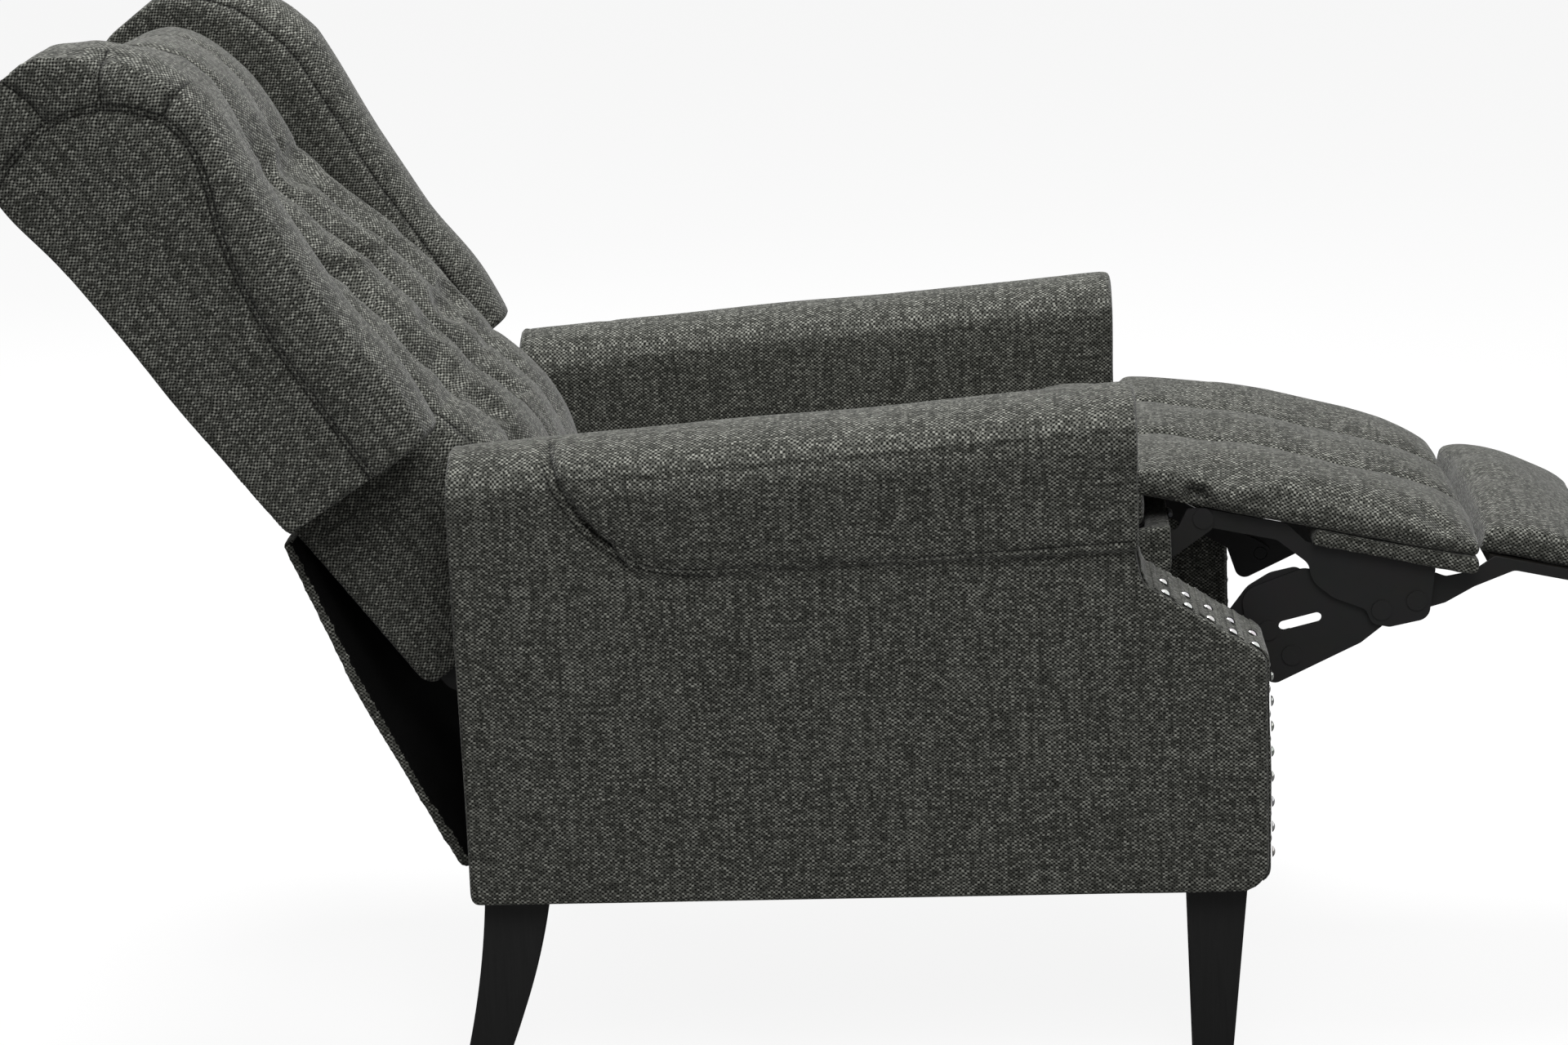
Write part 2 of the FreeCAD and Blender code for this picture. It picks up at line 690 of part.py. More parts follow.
def make_seat_plates():
    """Side plates of the mechanism: rear pivot, lift slot, two footrest hinges."""
    y_in, y_out = layer(2)
    follow = SEAT_HINGE + Vector(FOLLOW_X, 0, FOLLOW_Z)
    front_x = SEAT_HINGE.x
    rear_x = PIVOT.x + 4 * PIVOT_EAR
    cushion_front = front_x - DECK_FRONT_BACK - SEAT_PAD_OVERHANG
    top = 6.0
    plate = side_plate([
        (PIVOT.x - PIVOT_EAR, PIVOT.z - PIVOT_EAR, 18),
        (PIVOT.x + PIVOT_EAR, PIVOT.z - PIVOT_EAR, 30),
        (LIFT_PIN.x - 2 * EAR, LIFT_PIN.z - 1.4 * EAR, 20),
        (LIFT_PIN.x + 3 * EAR, LIFT_PIN.z - 1.2 * EAR, 16),
        (follow.x + 1.6 * EAR, follow.z - EAR, 20),
        (front_x + PLATE_NOSE, SEAT_HINGE.z - PLATE_NOSE, PLATE_NOSE - 0.1),
        (front_x + PLATE_NOSE, SEAT_HINGE.z + PLATE_NOSE, PLATE_NOSE - 0.1),
        (front_x - EAR, SEAT_HINGE.z + PLATE_NOSE, 4),
        (cushion_front + 1, deck(cushion_front + 1) - top, 6),
        (rear_x, deck(rear_x) - top, 20),
        (PIVOT.x + PIVOT_EAR, PIVOT.z + PIVOT_EAR, 30),
        (PIVOT.x - PIVOT_EAR, PIVOT.z + PIVOT_EAR, 18),
    ], y_in, y_out)
    slot_end = LIFT_PIN + Vector(LIFT_SLOT_RUN, 0, LIFT_SLOT_RISE)
    plate = plate.cut(bar(LIFT_PIN, slot_end, LIFT_SLOT_RADIUS, y_in - 1, y_out + 1))
    plate = plate.cut(cross_pin(PIVOT, SHAFT_RADIUS + PIN_FIT, y_in - 1, y_out + 1))
    pins = [
        headed_pin(SEAT_HINGE, layer(3)[0], y_out),
        headed_pin(follow, layer(5)[0], y_out),
    ]
    for share in DECK_BOLTS:
        x = front_x - DECK_FRONT_BACK - share * DECK_LENGTH
        spot = Vector(x, 0, deck(x) - SEAT_RAIL_HEIGHT / 2)
        shank = cross_pin(spot, PIN_RADIUS / 2, y_in, y_out + SEAT_RAIL / 2)
        pins.append(shank.fuse(cross_pin(spot, PIN_RADIUS, y_in - HEAD, y_in)).removeSplitter())
    for pin in pins:
        plate = plate.cut(pin)
        for name in ("seat_left_rail", "seat_right_rail"):
            shapes[name] = shapes[name].cut(Part.makeCompound(both_sides(pin)))
    add_pair("seat_plate", plate)
    add("seat_plate_bolts", Part.makeCompound([one for p in pins for one in both_sides(p)]))


def make_footrest():
    half = INNER - CUSHION_SIDE_GAP
    stations = [
        (-REST_PAD_BACK, REST_PAD * 0.62, half - 6, 0.4),
        (10, REST_PAD, half, 1.0),
        (REST_LENGTH * 0.45, REST_PAD + 1, half, 1.0),
        (REST_LENGTH * 0.8, REST_PAD * 0.88, half - 1, 0.9),
        (REST_LENGTH, REST_PAD * 0.4, half - 10, 0.3),
    ]
    sections = [channel_section(u, REST_PAD_SEAT, height, width, crown)
                for u, height, width, crown in stations]
    add("leg_pad", in_rest(Part.makeLoft(sections, True, False)))
    wide = half - REST_BOARD_SIDE
    board = block((REST_BOARD_START, REST_LENGTH), (-wide, wide),
                  (REST_PAD_SEAT - REST_BOARD, REST_PAD_SEAT))
    y_in, y_out = layer(3)
    under = REST_PAD_SEAT - REST_BOARD
    arm = side_plate([
        (-STRAP - 2, -STRAP, STRAP),
        (REST_BOARD_START - 30, -STRAP, 10),
        (REST_BOARD_START + 2, -STRAP - 16, 14),
        (REST_BOARD_START + 8, CARRIER_W + 14, 24),
        (CARRIER_U - 44, CARRIER_W + 3, 16),
        (CARRIER_U - 14, CARRIER_W - 2, 8),
        (CARRIER_U - 6, CARRIER_W - EAR, 10),
        (CARRIER_U + 10, CARRIER_W - EAR, 10),
        (EXT_U + EAR, EXT_W - EAR, 12),
        (EXT_U + EAR - 4, under, 4),
        (REST_BOARD_START - 4, under, 6),
        (REST_BOARD_START - 24, STRAP, 8),
        (-STRAP - 2, STRAP, STRAP),
    ], y_in, y_out)
    carrier = Vector(CARRIER_U, 0, CARRIER_W)
    extension = Vector(EXT_U, 0, EXT_W)
    hinge_hole = cross_pin(Vector(0, 0, 0), PIN_RADIUS + PIN_FIT, y_in - 1, y_out + 1)
    pins = [headed_pin(carrier, layer(4)[0], y_out), headed_pin(extension, layer(6)[0], y_out)]
    screws = []
    for share in (0.25, 0.75):
        u = REST_BOARD_START + share * (REST_LENGTH - REST_BOARD_START - 30)
        tab_y = y_in - 7
        shank = Part.makeCylinder(2.5, 12, Vector(u, tab_y, under - PLATE))
        head = Part.makeCylinder(4.5, 2.5, Vector(u, tab_y, under - PLATE - 2.5))
        screws.append(shank.fuse(head).removeSplitter())
    tab = block((REST_BOARD_START + 6, EXT_U + 4), (y_in - 14, y_in), (under - PLATE, under))
    arm = arm.fuse(tab).removeSplitter().cut(hinge_hole)
    for pin in pins + screws:
        arm = arm.cut(pin)
    all_screws = Part.makeCompound([one for s in screws for one in both_sides(s)])
    add("footrest_board", in_rest(board.cut(all_screws)))
    add_pair("footrest_arm", in_rest(arm))
    loose = [one for p in pins + screws for one in both_sides(p)]
    add("footrest_bolts", in_rest(Part.makeCompound(loose)))


def make_follower():
    """Links that run beside the footrest arms and keep the slotted plates level."""
    y_in, y_out = layer(5)
    shift = Vector(FOLLOW_X, 0, FOLLOW_Z)
    start = SEAT_HINGE + shift
    end = rest_point(CARRIER_U, CARRIER_W) + shift
    link = bar(start, end, LINK_HALF, y_in, y_out)
    link = link.cut(cross_pin(start, PIN_RADIUS + PIN_FIT, y_in - 1, y_out + 1))
    link = link.cut(cross_pin(end, PIN_RADIUS + OPEN_FIT, y_in - 1, y_out + 1))
    add_pair("follower_link", link)


def make_carriers():
    """Slotted plates with an arched doubler behind."""
    y_in, y_out = layer(4)
    hinge = rest_point(CARRIER_U, CARRIER_W)

    def spot(across, up):
        return hinge + Vector(across * CARRIER_REACH, 0, up * CARRIER_REACH)

    def at(across, up, radius):
        return (spot(across, up).x, spot(across, up).z, radius * CARRIER_REACH)

    plate = side_plate([
        at(-0.719, -0.504, 0.072), at(-0.129, -0.223, 0.086), at(0, -0.122, 0.058),
        at(0.108, -0.014, 0.072), at(0.043, 0.108, 0.065), at(-0.115, 0.101, 0.072),
        at(-0.475, 0.281, 0.144), at(-0.892, 0.129, 0.115), at(-0.863, -0.072, 0.144),
    ], y_in, y_out)
    doubler = side_plate([
        at(-1, -0.043, 0.022), at(-0.849, 0.158, 0.158), at(-0.705, 0.245, 0.158),
        at(-0.504, 0.288, 0.072), at(-0.432, 0.072, 0.043), at(-0.647, -0.216, 0.072),
    ], y_in - PLATE * 0.35, y_in)
    plate = plate.fuse(doubler).removeSplitter()
    slot_from = spot(-0.619, -0.101)
    slot_to = spot(-0.41, -0.05)
    plate = plate.cut(bar(slot_from, slot_to, CARRIER_SLOT_RADIUS, y_in - PLATE, y_out + 1))
    plate = plate.cut(cross_pin(hinge, PIN_RADIUS + PIN_FIT, y_in - 1, y_out + 1))
    open_pin = headed_pin(hinge + Vector(FOLLOW_X, 0, FOLLOW_Z), layer(5)[0], y_out)
    stop_pin = headed_pin(spot(-0.719, -0.129), y_in, y_out)
    for pin in (open_pin, stop_pin):
        plate = plate.cut(pin)
    add_pair("carrier_plate", plate)
    add("carrier_bolts", Part.makeCompound(both_sides(open_pin) + both_sides(stop_pin)))


def extension_section(a, side, crown, half):
    """Section of the domed extension pad."""
    low = EXT_PAD_SEAT
    edge = half - SIDE_DRAW
    left = [Vector(a, edge + 2, low), Vector(a, half, low + side * 0.5),
            Vector(a, edge, low + side)]

    def other(point):
        return Vector(point.x, -point.y, point.z)

    edges = [
        Part.LineSegment(other(left[0]), left[0]).toShape(),
        Part.Arc(left[0], left[1], left[2]).toShape(),
        Part.Arc(left[2], Vector(a, 0, low + crown), other(left[2])).toShape(),
        Part.Arc(other(left[2]), other(left[1]), other(left[0])).toShape(),
    ]
    return Part.Wire(edges)


def make_extension():
    y_in, y_out = layer(6)
    start = EXT_START
    end = EXT_START + EXT_LENGTH
    stations = [
        (start, EXT_PAD_SIDE * 0.75, EXT_PAD_CROWN * 0.72, y_in - 4),
        (start + 18, EXT_PAD_SIDE, EXT_PAD_CROWN, y_in),
        (start + 0.5 * EXT_LENGTH, EXT_PAD_SIDE * 0.95, EXT_PAD_CROWN * 0.93, y_in),
        (end - 22, EXT_PAD_SIDE * 0.7, EXT_PAD_CROWN * 0.62, y_in - 4),
        (end, EXT_PAD_SIDE * 0.3, EXT_PAD_CROWN * 0.24, y_in - 16),
    ]
    sections = [extension_section(*station) for station in stations]
    add("extension_pad", in_extension(Part.makeLoft(sections, True, False)))
    board_low = EXT_PAD_SEAT - EXT_BOARD
    board_start = start + EXT_BOARD_INSET
    board_end = end - 2 * EXT_BOARD_INSET
    add("extension_board", in_extension(block((board_start, board_end), (-y_in, y_in),
                                              (board_low, EXT_PAD_SEAT))))
    arm = side_plate([
        (-EAR - 1, -EAR + 1, 10), (7, -EAR + 2, 8), (28, -1, 8), (50, 18, 10),
        (82, board_low - 1, 10), (board_end - 6, board_low - 1, 3),
        (board_end - 6, EXT_PAD_SEAT, 2), (board_start + 4, EXT_PAD_SEAT, 4), (46, 31, 6),
        (24, 22, 8), (10, 24, 6), (-4, 31, 5), (-EAR, 12, 6),
    ], y_in, y_out)
    arm = arm.cut(cross_pin(Vector(0, 0, 0), PIN_RADIUS + PIN_FIT, y_in - 1, y_out + 1))
    add_pair("extension_arm", in_extension(arm))


def make_flap():
    """Padded panel that closes the back of the base."""
    thick = FLAP_THICK
    hinge = FLAP_HINGE
    top = PIVOT + turned_back(BACK_REAR - 2, WING_BOTTOM_REAR - 16)
    bend = hinge + Vector(-87, 0, 170)
    low = hinge + Vector(-32, 0, 62)
    corners = [
        (top.x, top.z, 1),
        (top.x - thick * 0.94, top.z - thick * 0.34, 3),
        (bend.x - thick, bend.z - 3, 200),
        (low.x - thick, low.z - 4, 60),
        (hinge.x - thick * 0.6, hinge.z - thick * 0.6, 3),
        (hinge.x + thick * 0.6, hinge.z - thick * 0.4, 3),
        (low.x, low.z, 60),
        (bend.x, bend.z, 200),
    ]
    half = INNER + FLAP_SIDE
    flap = side_plate(corners, -half, half)
    flap = flap.cut(cross_pin(hinge, FLAP_ROD_RADIUS + PIN_FIT, -half - 1, half + 1))
    rail_rear = REAR_X + RAIL_MARGIN
    rod = cross_pin(hinge, FLAP_ROD_RADIUS, -half + 2, half - 2)
    for y in (-FLAP_LUG_SPREAD, 0, FLAP_LUG_SPREAD):
        lug = cross_pin(hinge, FLAP_ROD_RADIUS + 2, y - FLAP_LUG / 2, y + FLAP_LUG / 2)
        arm = block((hinge.x, rail_rear), (y - FLAP_LUG / 2, y + FLAP_LUG / 2),
                    (hinge.z - FLAP_ROD_RADIUS, hinge.z + FLAP_ROD_RADIUS))
        rod = rod.fuse(lug).fuse(arm)
        room = cross_pin(hinge, thick, y - FLAP_LUG / 2 - 1, y + FLAP_LUG / 2 + 1)
        flap = flap.cut(room)
    add("rear_flap", largest(flap))
    add("flap_hinge_rod", rod.removeSplitter())


def turned_back(n, s):
    turn = FreeCAD.Rotation(Vector(0, 1, 0), -BACK_LEAN)
    return turn.multVec(Vector(n, 0, s))


def make_back_frame():
    plate_in, plate_out = layer(3)
    rear = BACK_REAR + COVER
    front = rear + POST_DEPTH
    low = BACK_BOTTOM + 4
    high = BACK_TOP - 30
    post = block((rear, front), (plate_out, plate_out + POST), (low, high))
    bottom = block((rear, front), (-plate_in, plate_in), (low, low + BACK_RAIL))
    top = block((rear, front), (-plate_out, plate_out), (high - BACK_RAIL, high))
    bracket = side_plate([
        (-PIVOT_EAR + 3, -PIVOT_EAR + 3, 16), (PIVOT_EAR - 3, -PIVOT_EAR + 3, 16),
        (PIVOT_EAR - 3, PIVOT_EAR, 16), (-12, 0.27 * BRACKET_TOP, 20),
        (front - 1, 0.43 * BRACKET_TOP, 10), (front - 1, BRACKET_TOP, 6),
        (rear + 1, BRACKET_TOP, 6), (rear + 1, 0.27 * BRACKET_TOP, 16),
    ], plate_in, plate_out)
    bracket = bracket.cut(cross_pin(Vector(0, 0, 0), SHAFT_RADIUS + PIN_FIT,
                                    plate_in - 1, plate_out + 1))
    bolts = []
    for s in (low + 14, low + 84, low + 144):
        spot = Vector((rear + front) / 2, 0, s)
        shank = cross_pin(spot, PIN_RADIUS / 2, plate_in, plate_out + POST / 2)
        head = cross_pin(spot, PIN_RADIUS, plate_in - HEAD, plate_in)
        bolts.append(shank.fuse(head).removeSplitter())
    shanks = Part.makeCompound(bolts)
    bottom = bottom.cut(Part.makeCompound(both_sides(shanks)))
    bracket = bracket.cut(shanks)
    post = post.cut(shanks)
    add("back_left_post", in_back(post))
    add("back_right_post", in_back(mirrored(post)))
    add("back_bottom_rail", in_back(bottom))
    add("back_top_rail", in_back(top))
    shapes["left_back_bracket"] = in_back(bracket)
    shapes["right_back_bracket"] = in_back(mirrored(bracket))
    add("back_bracket_bolts", in_back(Part.makeCompound(both_sides(shanks))))
    reach = plate_out + POST - 4
    gap = (high - BACK_RAIL - low - BACK_RAIL - STRAP_COUNT * STRAP_WIDTH) / (STRAP_COUNT + 1)
    straps = []
    for index in range(STRAP_COUNT):
        start = low + BACK_RAIL + gap + index * (STRAP_WIDTH + gap)
        straps.append(block((front, front + STRAP_THICK), (-reach, reach),
                            (start, start + STRAP_WIDTH)))
    add("back_webbing", in_back(Part.makeCompound(straps)))
    return front + STRAP_THICK, plate_out + POST


def make_back_cover(half):
    rear = BACK_REAR
    front = rear + COVER + POST_DEPTH
    low = BACK_BOTTOM
    high = BACK_TOP - 26
    outer = block((rear, front), (-half - COVER_SIDE, half + COVER_SIDE), (low, high))
    inner = block((rear + COVER, front + 1), (-half, half), (low - 1, high + 1))
    add("outside_back_cover", in_back(outer.cut(inner)))


def cushion_section(s, rear, front, half, crown):
    """Level section through the back cushion, its front crowned across."""
    edge = half - SIDE_DRAW
    left = [Vector(rear, edge, s), Vector((rear + front) / 2, half, s),
            Vector(front - crown, edge, s)]

    def other(point):
        return Vector(point.x, -point.y, point.z)

    edges = [
        Part.LineSegment(other(left[0]), left[0]).toShape(),
        Part.Arc(left[0], left[1], left[2]).toShape(),
        Part.Arc(left[2], Vector(front, 0, s), other(left[2])).toShape(),
        Part.Arc(other(left[2]), other(left[1]), other(left[0])).toShape(),
    ]
    return Part.Wire(edges)


def back_front(s):
    """Front face of the back cushion at height s along the back."""
    share = (s - BACK_LOW_EDGE) / (BACK_TOP - BACK_LOW_EDGE)
    for (s0, n0), (s1, n1) in zip(BACK_PROFILE, BACK_PROFILE[1:]):
        if share <= s1:
            return BACK_SWELL * (n0 + (n1 - n0) * (share - s0) / (s1 - s0))
    return BACK_SWELL * BACK_PROFILE[-1][1]


def make_back_cushion(rear, half):
    rear = rear + SEAT_GAP
    span = BACK_TOP - BACK_LOW_EDGE
    heights = [BACK_LOW_EDGE + share * span for share in (0.0, 0.106, 0.375, 0.737, 0.915, 1.0)]
    sections = []
    for s in heights:
        at_end = s in (heights[0], heights[-1])
        width = half - BACK_EDGE - (10 if at_end else 0)
        sections.append(cushion_section(s, rear, back_front(s), width, 6 if at_end else 14))
    plain = Part.makeLoft(sections, True, False)
    cushion = plain
    for row in range(4):
        s = BACK_TOP - TUFT_TOP - (3 - row) * TUFT_PITCH_S
        columns = (-1, 0, 1) if row % 2 == 0 else (-1.5, -0.5, 0.5, 1.5)
        for column in columns:
            y = column * TUFT_PITCH_Y
            ray = Part.makeLine(Vector(rear, y, s), Vector(rear + BACK_TOP, y, s))
            front = ray.common(plain).BoundBox.XMax
            centre = Vector(front + TUFT_RADIUS - TUFT_DEPTH, y, s)
            cushion = cushion.cut(Part.makeSphere(TUFT_RADIUS, centre))
    add("back_cushion", in_back(cushion))


def wing_section(s, rear, crest, inner):
    """Level section through a wing: rear edge, flat outer side, rounded front crest."""
    out = HALF - WING_INSET
    crest_y = out - WING_CREST_IN
    bend = WING_ROUND * 0.29
    points = [
        Vector(rear - 0.2 * (out - inner), inner, s),
        Vector(rear, out, s),
        Vector(crest - WING_ROUND, out, s),
        Vector(crest, crest_y, s),
        Vector(crest - WING_ROUND, inner, s),
    ]
    outer_mid = Vector(crest - bend, out - WING_CREST_IN * 0.29, s)
    inner_mid = Vector(crest - bend, crest_y - (crest_y - inner) * 0.71, s)
    edges = [
        Part.LineSegment(points[0], points[1]).toShape(),
        Part.LineSegment(points[1], points[2]).toShape(),
        Part.Arc(points[2], outer_mid, points[3]).toShape(),
        Part.Arc(points[3], inner_mid, points[4]).toShape(),
        Part.LineSegment(points[4], points[0]).toShape(),
    ]
    return Part.Wire(edges)


def make_wings(half):
    inner = half + COVER_SIDE + WING_GAP
    rear = WING_REAR
    low = WING_BOTTOM_FRONT
    stations = [
        (0.0, 0.0, 0.657), (0.097, 0.0, 0.729), (0.411, 0.0, 0.843), (0.743, 0.0, 1.0),
        (0.888, 0.0, 0.943), (0.967, 0.157, 0.7), (1.0, 0.393, 0.443),
    ]
    sections = [wing_section(low + up * WING_HEIGHT, rear + back * WING_DEPTH,
                             crest * WING_DEPTH, inner) for up, back, crest in stations]
    wing = Part.makeLoft(sections, True, False)
    reach = WING_DEPTH / 2
    below = side_plate([
        (rear - reach, low - reach, 0), (WING_DEPTH + reach, low - reach, 0),
        (WING_DEPTH + reach, low - 6, 0), (rear - reach, WING_BOTTOM_REAR + 6, 0),
    ], 0, HALF)
    add_pair("wing", in_back(wing.cut(below)))


def build():
    make_sides()
    make_nails()
    make_legs()
    make_cross_rails()
    make_base_rails()
    make_lift_links()
    make_seat_frame()
    make_springs()
    make_seat_cushion()
    make_seat_plates()
    make_footrest()
    make_follower()
    make_carriers()
    make_extension()
    make_flap()
    behind_cushion, half = make_back_frame()
    make_back_cover(half)
    make_back_cushion(behind_cushion, half)
    make_wings(half)


def whole_box():
    boxes = [shape.optimalBoundingBox(False) for shape in shapes.values()]
    box = FreeCAD.BoundBox()
    for one in boxes:
        box.add(one)
    return box


build()
box = whole_box()
centre = Vector(-(box.XMin + box.XMax) / 2, 0, 0)
os.makedirs("parts", exist_ok=True)
for name, shape in shapes.items():
    shape.translate(centre)
    count = len(shape.Solids)
    print(f"{name:24s} solids {count:3d} valid {shape.isValid()} volume {shape.Volume / 1000:9.1f} cm3")
    shape.exportStep(f"parts/{name}.step")
print("nodes", len(shapes), "size", round(box.XLength, 2), round(box.YLength, 2), round(box.ZLength, 2))
print("shift x", round(centre.x, 3), "low z", round(box.ZMin, 3))
for label, point in (("pivot", PIVOT), ("seat hinge", SEAT_HINGE), ("lift pivot", LIFT_PIVOT),
                     ("flap hinge", FLAP_HINGE), ("carrier", rest_point(CARRIER_U, CARRIER_W)),
                     ("extension", rest_point(EXT_U, EXT_W)),
                     ("follower", SEAT_HINGE + Vector(FOLLOW_X, 0, FOLLOW_Z))):
    print(label, round(point.x + centre.x, 3), round(point.z, 3))
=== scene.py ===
# Push-back wing recliner in charcoal tweed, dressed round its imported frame
import json
import math

import bpy
import numpy as np
from mathutils import Matrix, Vector


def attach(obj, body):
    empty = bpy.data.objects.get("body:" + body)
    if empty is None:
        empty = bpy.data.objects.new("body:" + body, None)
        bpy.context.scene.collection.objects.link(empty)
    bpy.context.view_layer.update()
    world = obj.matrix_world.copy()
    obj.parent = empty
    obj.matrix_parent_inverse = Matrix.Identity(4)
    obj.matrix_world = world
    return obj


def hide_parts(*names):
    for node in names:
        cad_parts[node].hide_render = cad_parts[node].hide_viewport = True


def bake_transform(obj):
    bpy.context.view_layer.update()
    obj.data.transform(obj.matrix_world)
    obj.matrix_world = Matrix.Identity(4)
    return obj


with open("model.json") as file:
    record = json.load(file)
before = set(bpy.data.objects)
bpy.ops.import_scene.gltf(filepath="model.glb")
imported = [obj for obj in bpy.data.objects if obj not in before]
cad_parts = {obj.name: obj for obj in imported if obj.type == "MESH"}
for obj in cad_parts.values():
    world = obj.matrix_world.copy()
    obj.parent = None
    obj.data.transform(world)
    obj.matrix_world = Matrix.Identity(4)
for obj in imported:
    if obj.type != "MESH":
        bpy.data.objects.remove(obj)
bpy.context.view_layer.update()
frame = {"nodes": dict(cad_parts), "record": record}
nodes = frame["nodes"]
print("stage: frame loaded,", len(nodes), "nodes")

mm = 0.001

camera = {
    "place": (0.1480, -3.7759, 1.2808),  # metres, from the sitter's right
    "yaw": 2.872,
    "pitch": 12.527,
    "roll": -1.946,
    "focalPixels": 5041.6,  # of a picture this wide
    "pictureWidth": 1920,
    "sensorWidth": 36,
}


def placeCamera():
    data = bpy.data.cameras.new("photoCamera")
    data.sensor_width = camera["sensorWidth"]
    data.lens = camera["focalPixels"] * data.sensor_width / camera["pictureWidth"]
    view = bpy.data.objects.new("photoCamera", data)
    bpy.context.scene.collection.objects.link(view)
    yaw, pitch, roll = (math.radians(camera[key]) for key in ("yaw", "pitch", "roll"))
    level = math.cos(pitch)
    ahead = Vector((-math.sin(yaw) * level, math.cos(yaw) * level, -math.sin(pitch)))
    right = Vector((math.cos(yaw), math.sin(yaw), 0))
    up = right.cross(ahead)
    across = right * math.cos(roll) + up * math.sin(roll)
    above = up * math.cos(roll) - right * math.sin(roll)
    turn = Matrix((across, above, -ahead)).transposed()
    view.matrix_world = Matrix.Translation(camera["place"]) @ turn.to_4x4()
    bpy.context.scene.camera = view


placeCamera()
print("stage: camera placed")


# light and floor

studio = {
    "ambient": 0.13,  # what the walls of the studio give back
    "lamps": [
        {"name": "overheadSoftbox", "place": (-0.3, 0.4, 4.4), "aim": (0, 0, 0.4), "size": 2.4, "power": 131},
        {"name": "cameraSide", "place": (0.5, -3.0, 3.0), "aim": (0, 0, 0.45), "size": 2.0, "power": 44},
        {"name": "behind", "place": (-1.4, 3.0, 2.4), "aim": (-0.2, 0, 0.6), "size": 2.4, "power": 20},
    ],
    "floorSize": 40,
    "floor": "#fafafa",
    "floorBounce": "#8a8a8a",  # what the floor gives back on to the chair
    "floorGlow": 1.12,
    "glowShare": 0.8,  # of what the camera sees of the floor
}


def toLinear(colour):
    # sRGB hex to the linear values that the shader takes
    parts = [int(colour[i:i + 2], 16) / 255 for i in (1, 3, 5)]
    return tuple(p / 12.92 if p <= 0.04045 else ((p + 0.055) / 1.055) ** 2.4 for p in parts) + (1.0,)


def addNode(tree, kind, settings=None, links=None):
    # one node, its own settings or socket values, and what is linked to its sockets
    node = tree.nodes.new(kind)
    for key, value in (settings or {}).items():
        if isinstance(key, int) or key in node.inputs:
            node.inputs[key].default_value = value
        else:
            setattr(node, key, value)
    for key, source in (links or {}).items():
        tree.links.new(source, node.inputs[key])
    return node


def newMaterial(name):
    material = bpy.data.materials.new(name)
    material.use_nodes = True
    material.node_tree.nodes.clear()
    return material, material.node_tree


def finishMaterial(tree, shader):
    addNode(tree, "ShaderNodeOutputMaterial", links={"Surface": shader.outputs[0]})


def setMaterial(piece, material):
    piece.data.materials.clear()
    piece.data.materials.append(material)


def mixColours(tree, share, first, second):
    # two colours, each a hex or a socket, mixed by a socket
    mix = addNode(tree, "ShaderNodeMix", {"data_type": "RGBA"}, {0: share})
    for key, colour in ((6, first), (7, second)):
        if isinstance(colour, str):
            mix.inputs[key].default_value = toLinear(colour)
        else:
            tree.links.new(colour, mix.inputs[key])
    return mix.outputs[2]


def raised(tree, height, strength, depth, under=None):
    # the normal over a height map, depth in mm, on top of another normal where one is given
    links = {"Height": height}
    if under is not None:
        links["Normal"] = under
    return addNode(tree, "ShaderNodeBump", {"Strength": strength, "Distance": depth * mm}, links).outputs[0]


def lightStudio():
    world = bpy.data.worlds.new("studio")
    bpy.context.scene.world = world
    world.use_nodes = True
    tree = world.node_tree
    tree.nodes.clear()
    # white for what the camera sees straight, mirrored or through glass, and faint as a light
    ray = addNode(tree, "ShaderNodeLightPath").outputs
    seen = ray["Is Camera Ray"]
    for kind in ("Is Glossy Ray", "Is Transmission Ray"):
        seen = addNode(tree, "ShaderNodeMath", {"operation": "MAXIMUM"}, {0: seen, 1: ray[kind]}).outputs[0]
    soft, white = (addNode(tree, "ShaderNodeBackground", {"Color": (1, 1, 1, 1), "Strength": strength}).outputs[0]
                   for strength in (studio["ambient"], 1.0))
    mix = addNode(tree, "ShaderNodeMixShader", links={0: seen, 1: soft, 2: white})
    addNode(tree, "ShaderNodeOutputWorld", links={"Surface": mix.outputs[0]})
    for lamp in studio["lamps"]:
        data = bpy.data.lights.new(lamp["name"], "AREA")
        data.shape = "DISK"
        data.size = lamp["size"]
        data.energy = lamp["power"]
        light = bpy.data.objects.new(lamp["name"], data)
        bpy.context.scene.collection.objects.link(light)
        light.location = lamp["place"]
        aim = Vector(lamp["aim"]) - Vector(lamp["place"])
        light.rotation_euler = aim.to_track_quat("-Z", "Y").to_euler()
    bpy.context.scene.view_settings.view_transform = "Standard"


def layFloor():
    bpy.ops.mesh.primitive_plane_add(size=studio["floorSize"], location=(0, 0, 0))
    floor = bpy.context.active_object
    floor.name = "floor"
    material, tree = newMaterial("matt white floor")
    seen = addNode(tree, "ShaderNodeLightPath").outputs["Is Camera Ray"]
    tone = mixColours(tree, seen, studio["floorBounce"], studio["floor"])
    paint = addNode(tree, "ShaderNodeBsdfDiffuse", links={"Color": tone}).outputs[0]
    white = {"Color": (1, 1, 1, 1), "Strength": studio["floorGlow"]}
    glow = addNode(tree, "ShaderNodeEmission", white).outputs[0]
    part = {"operation": "MULTIPLY", 1: studio["glowShare"]}
    share = addNode(tree, "ShaderNodeMath", part, {0: seen}).outputs[0]
    finishMaterial(tree, addNode(tree, "ShaderNodeMixShader", links={0: share, 1: paint, 2: glow}))
    floor.data.materials.append(material)


lightStudio()
layFloor()
print("stage: studio lit")


# materials

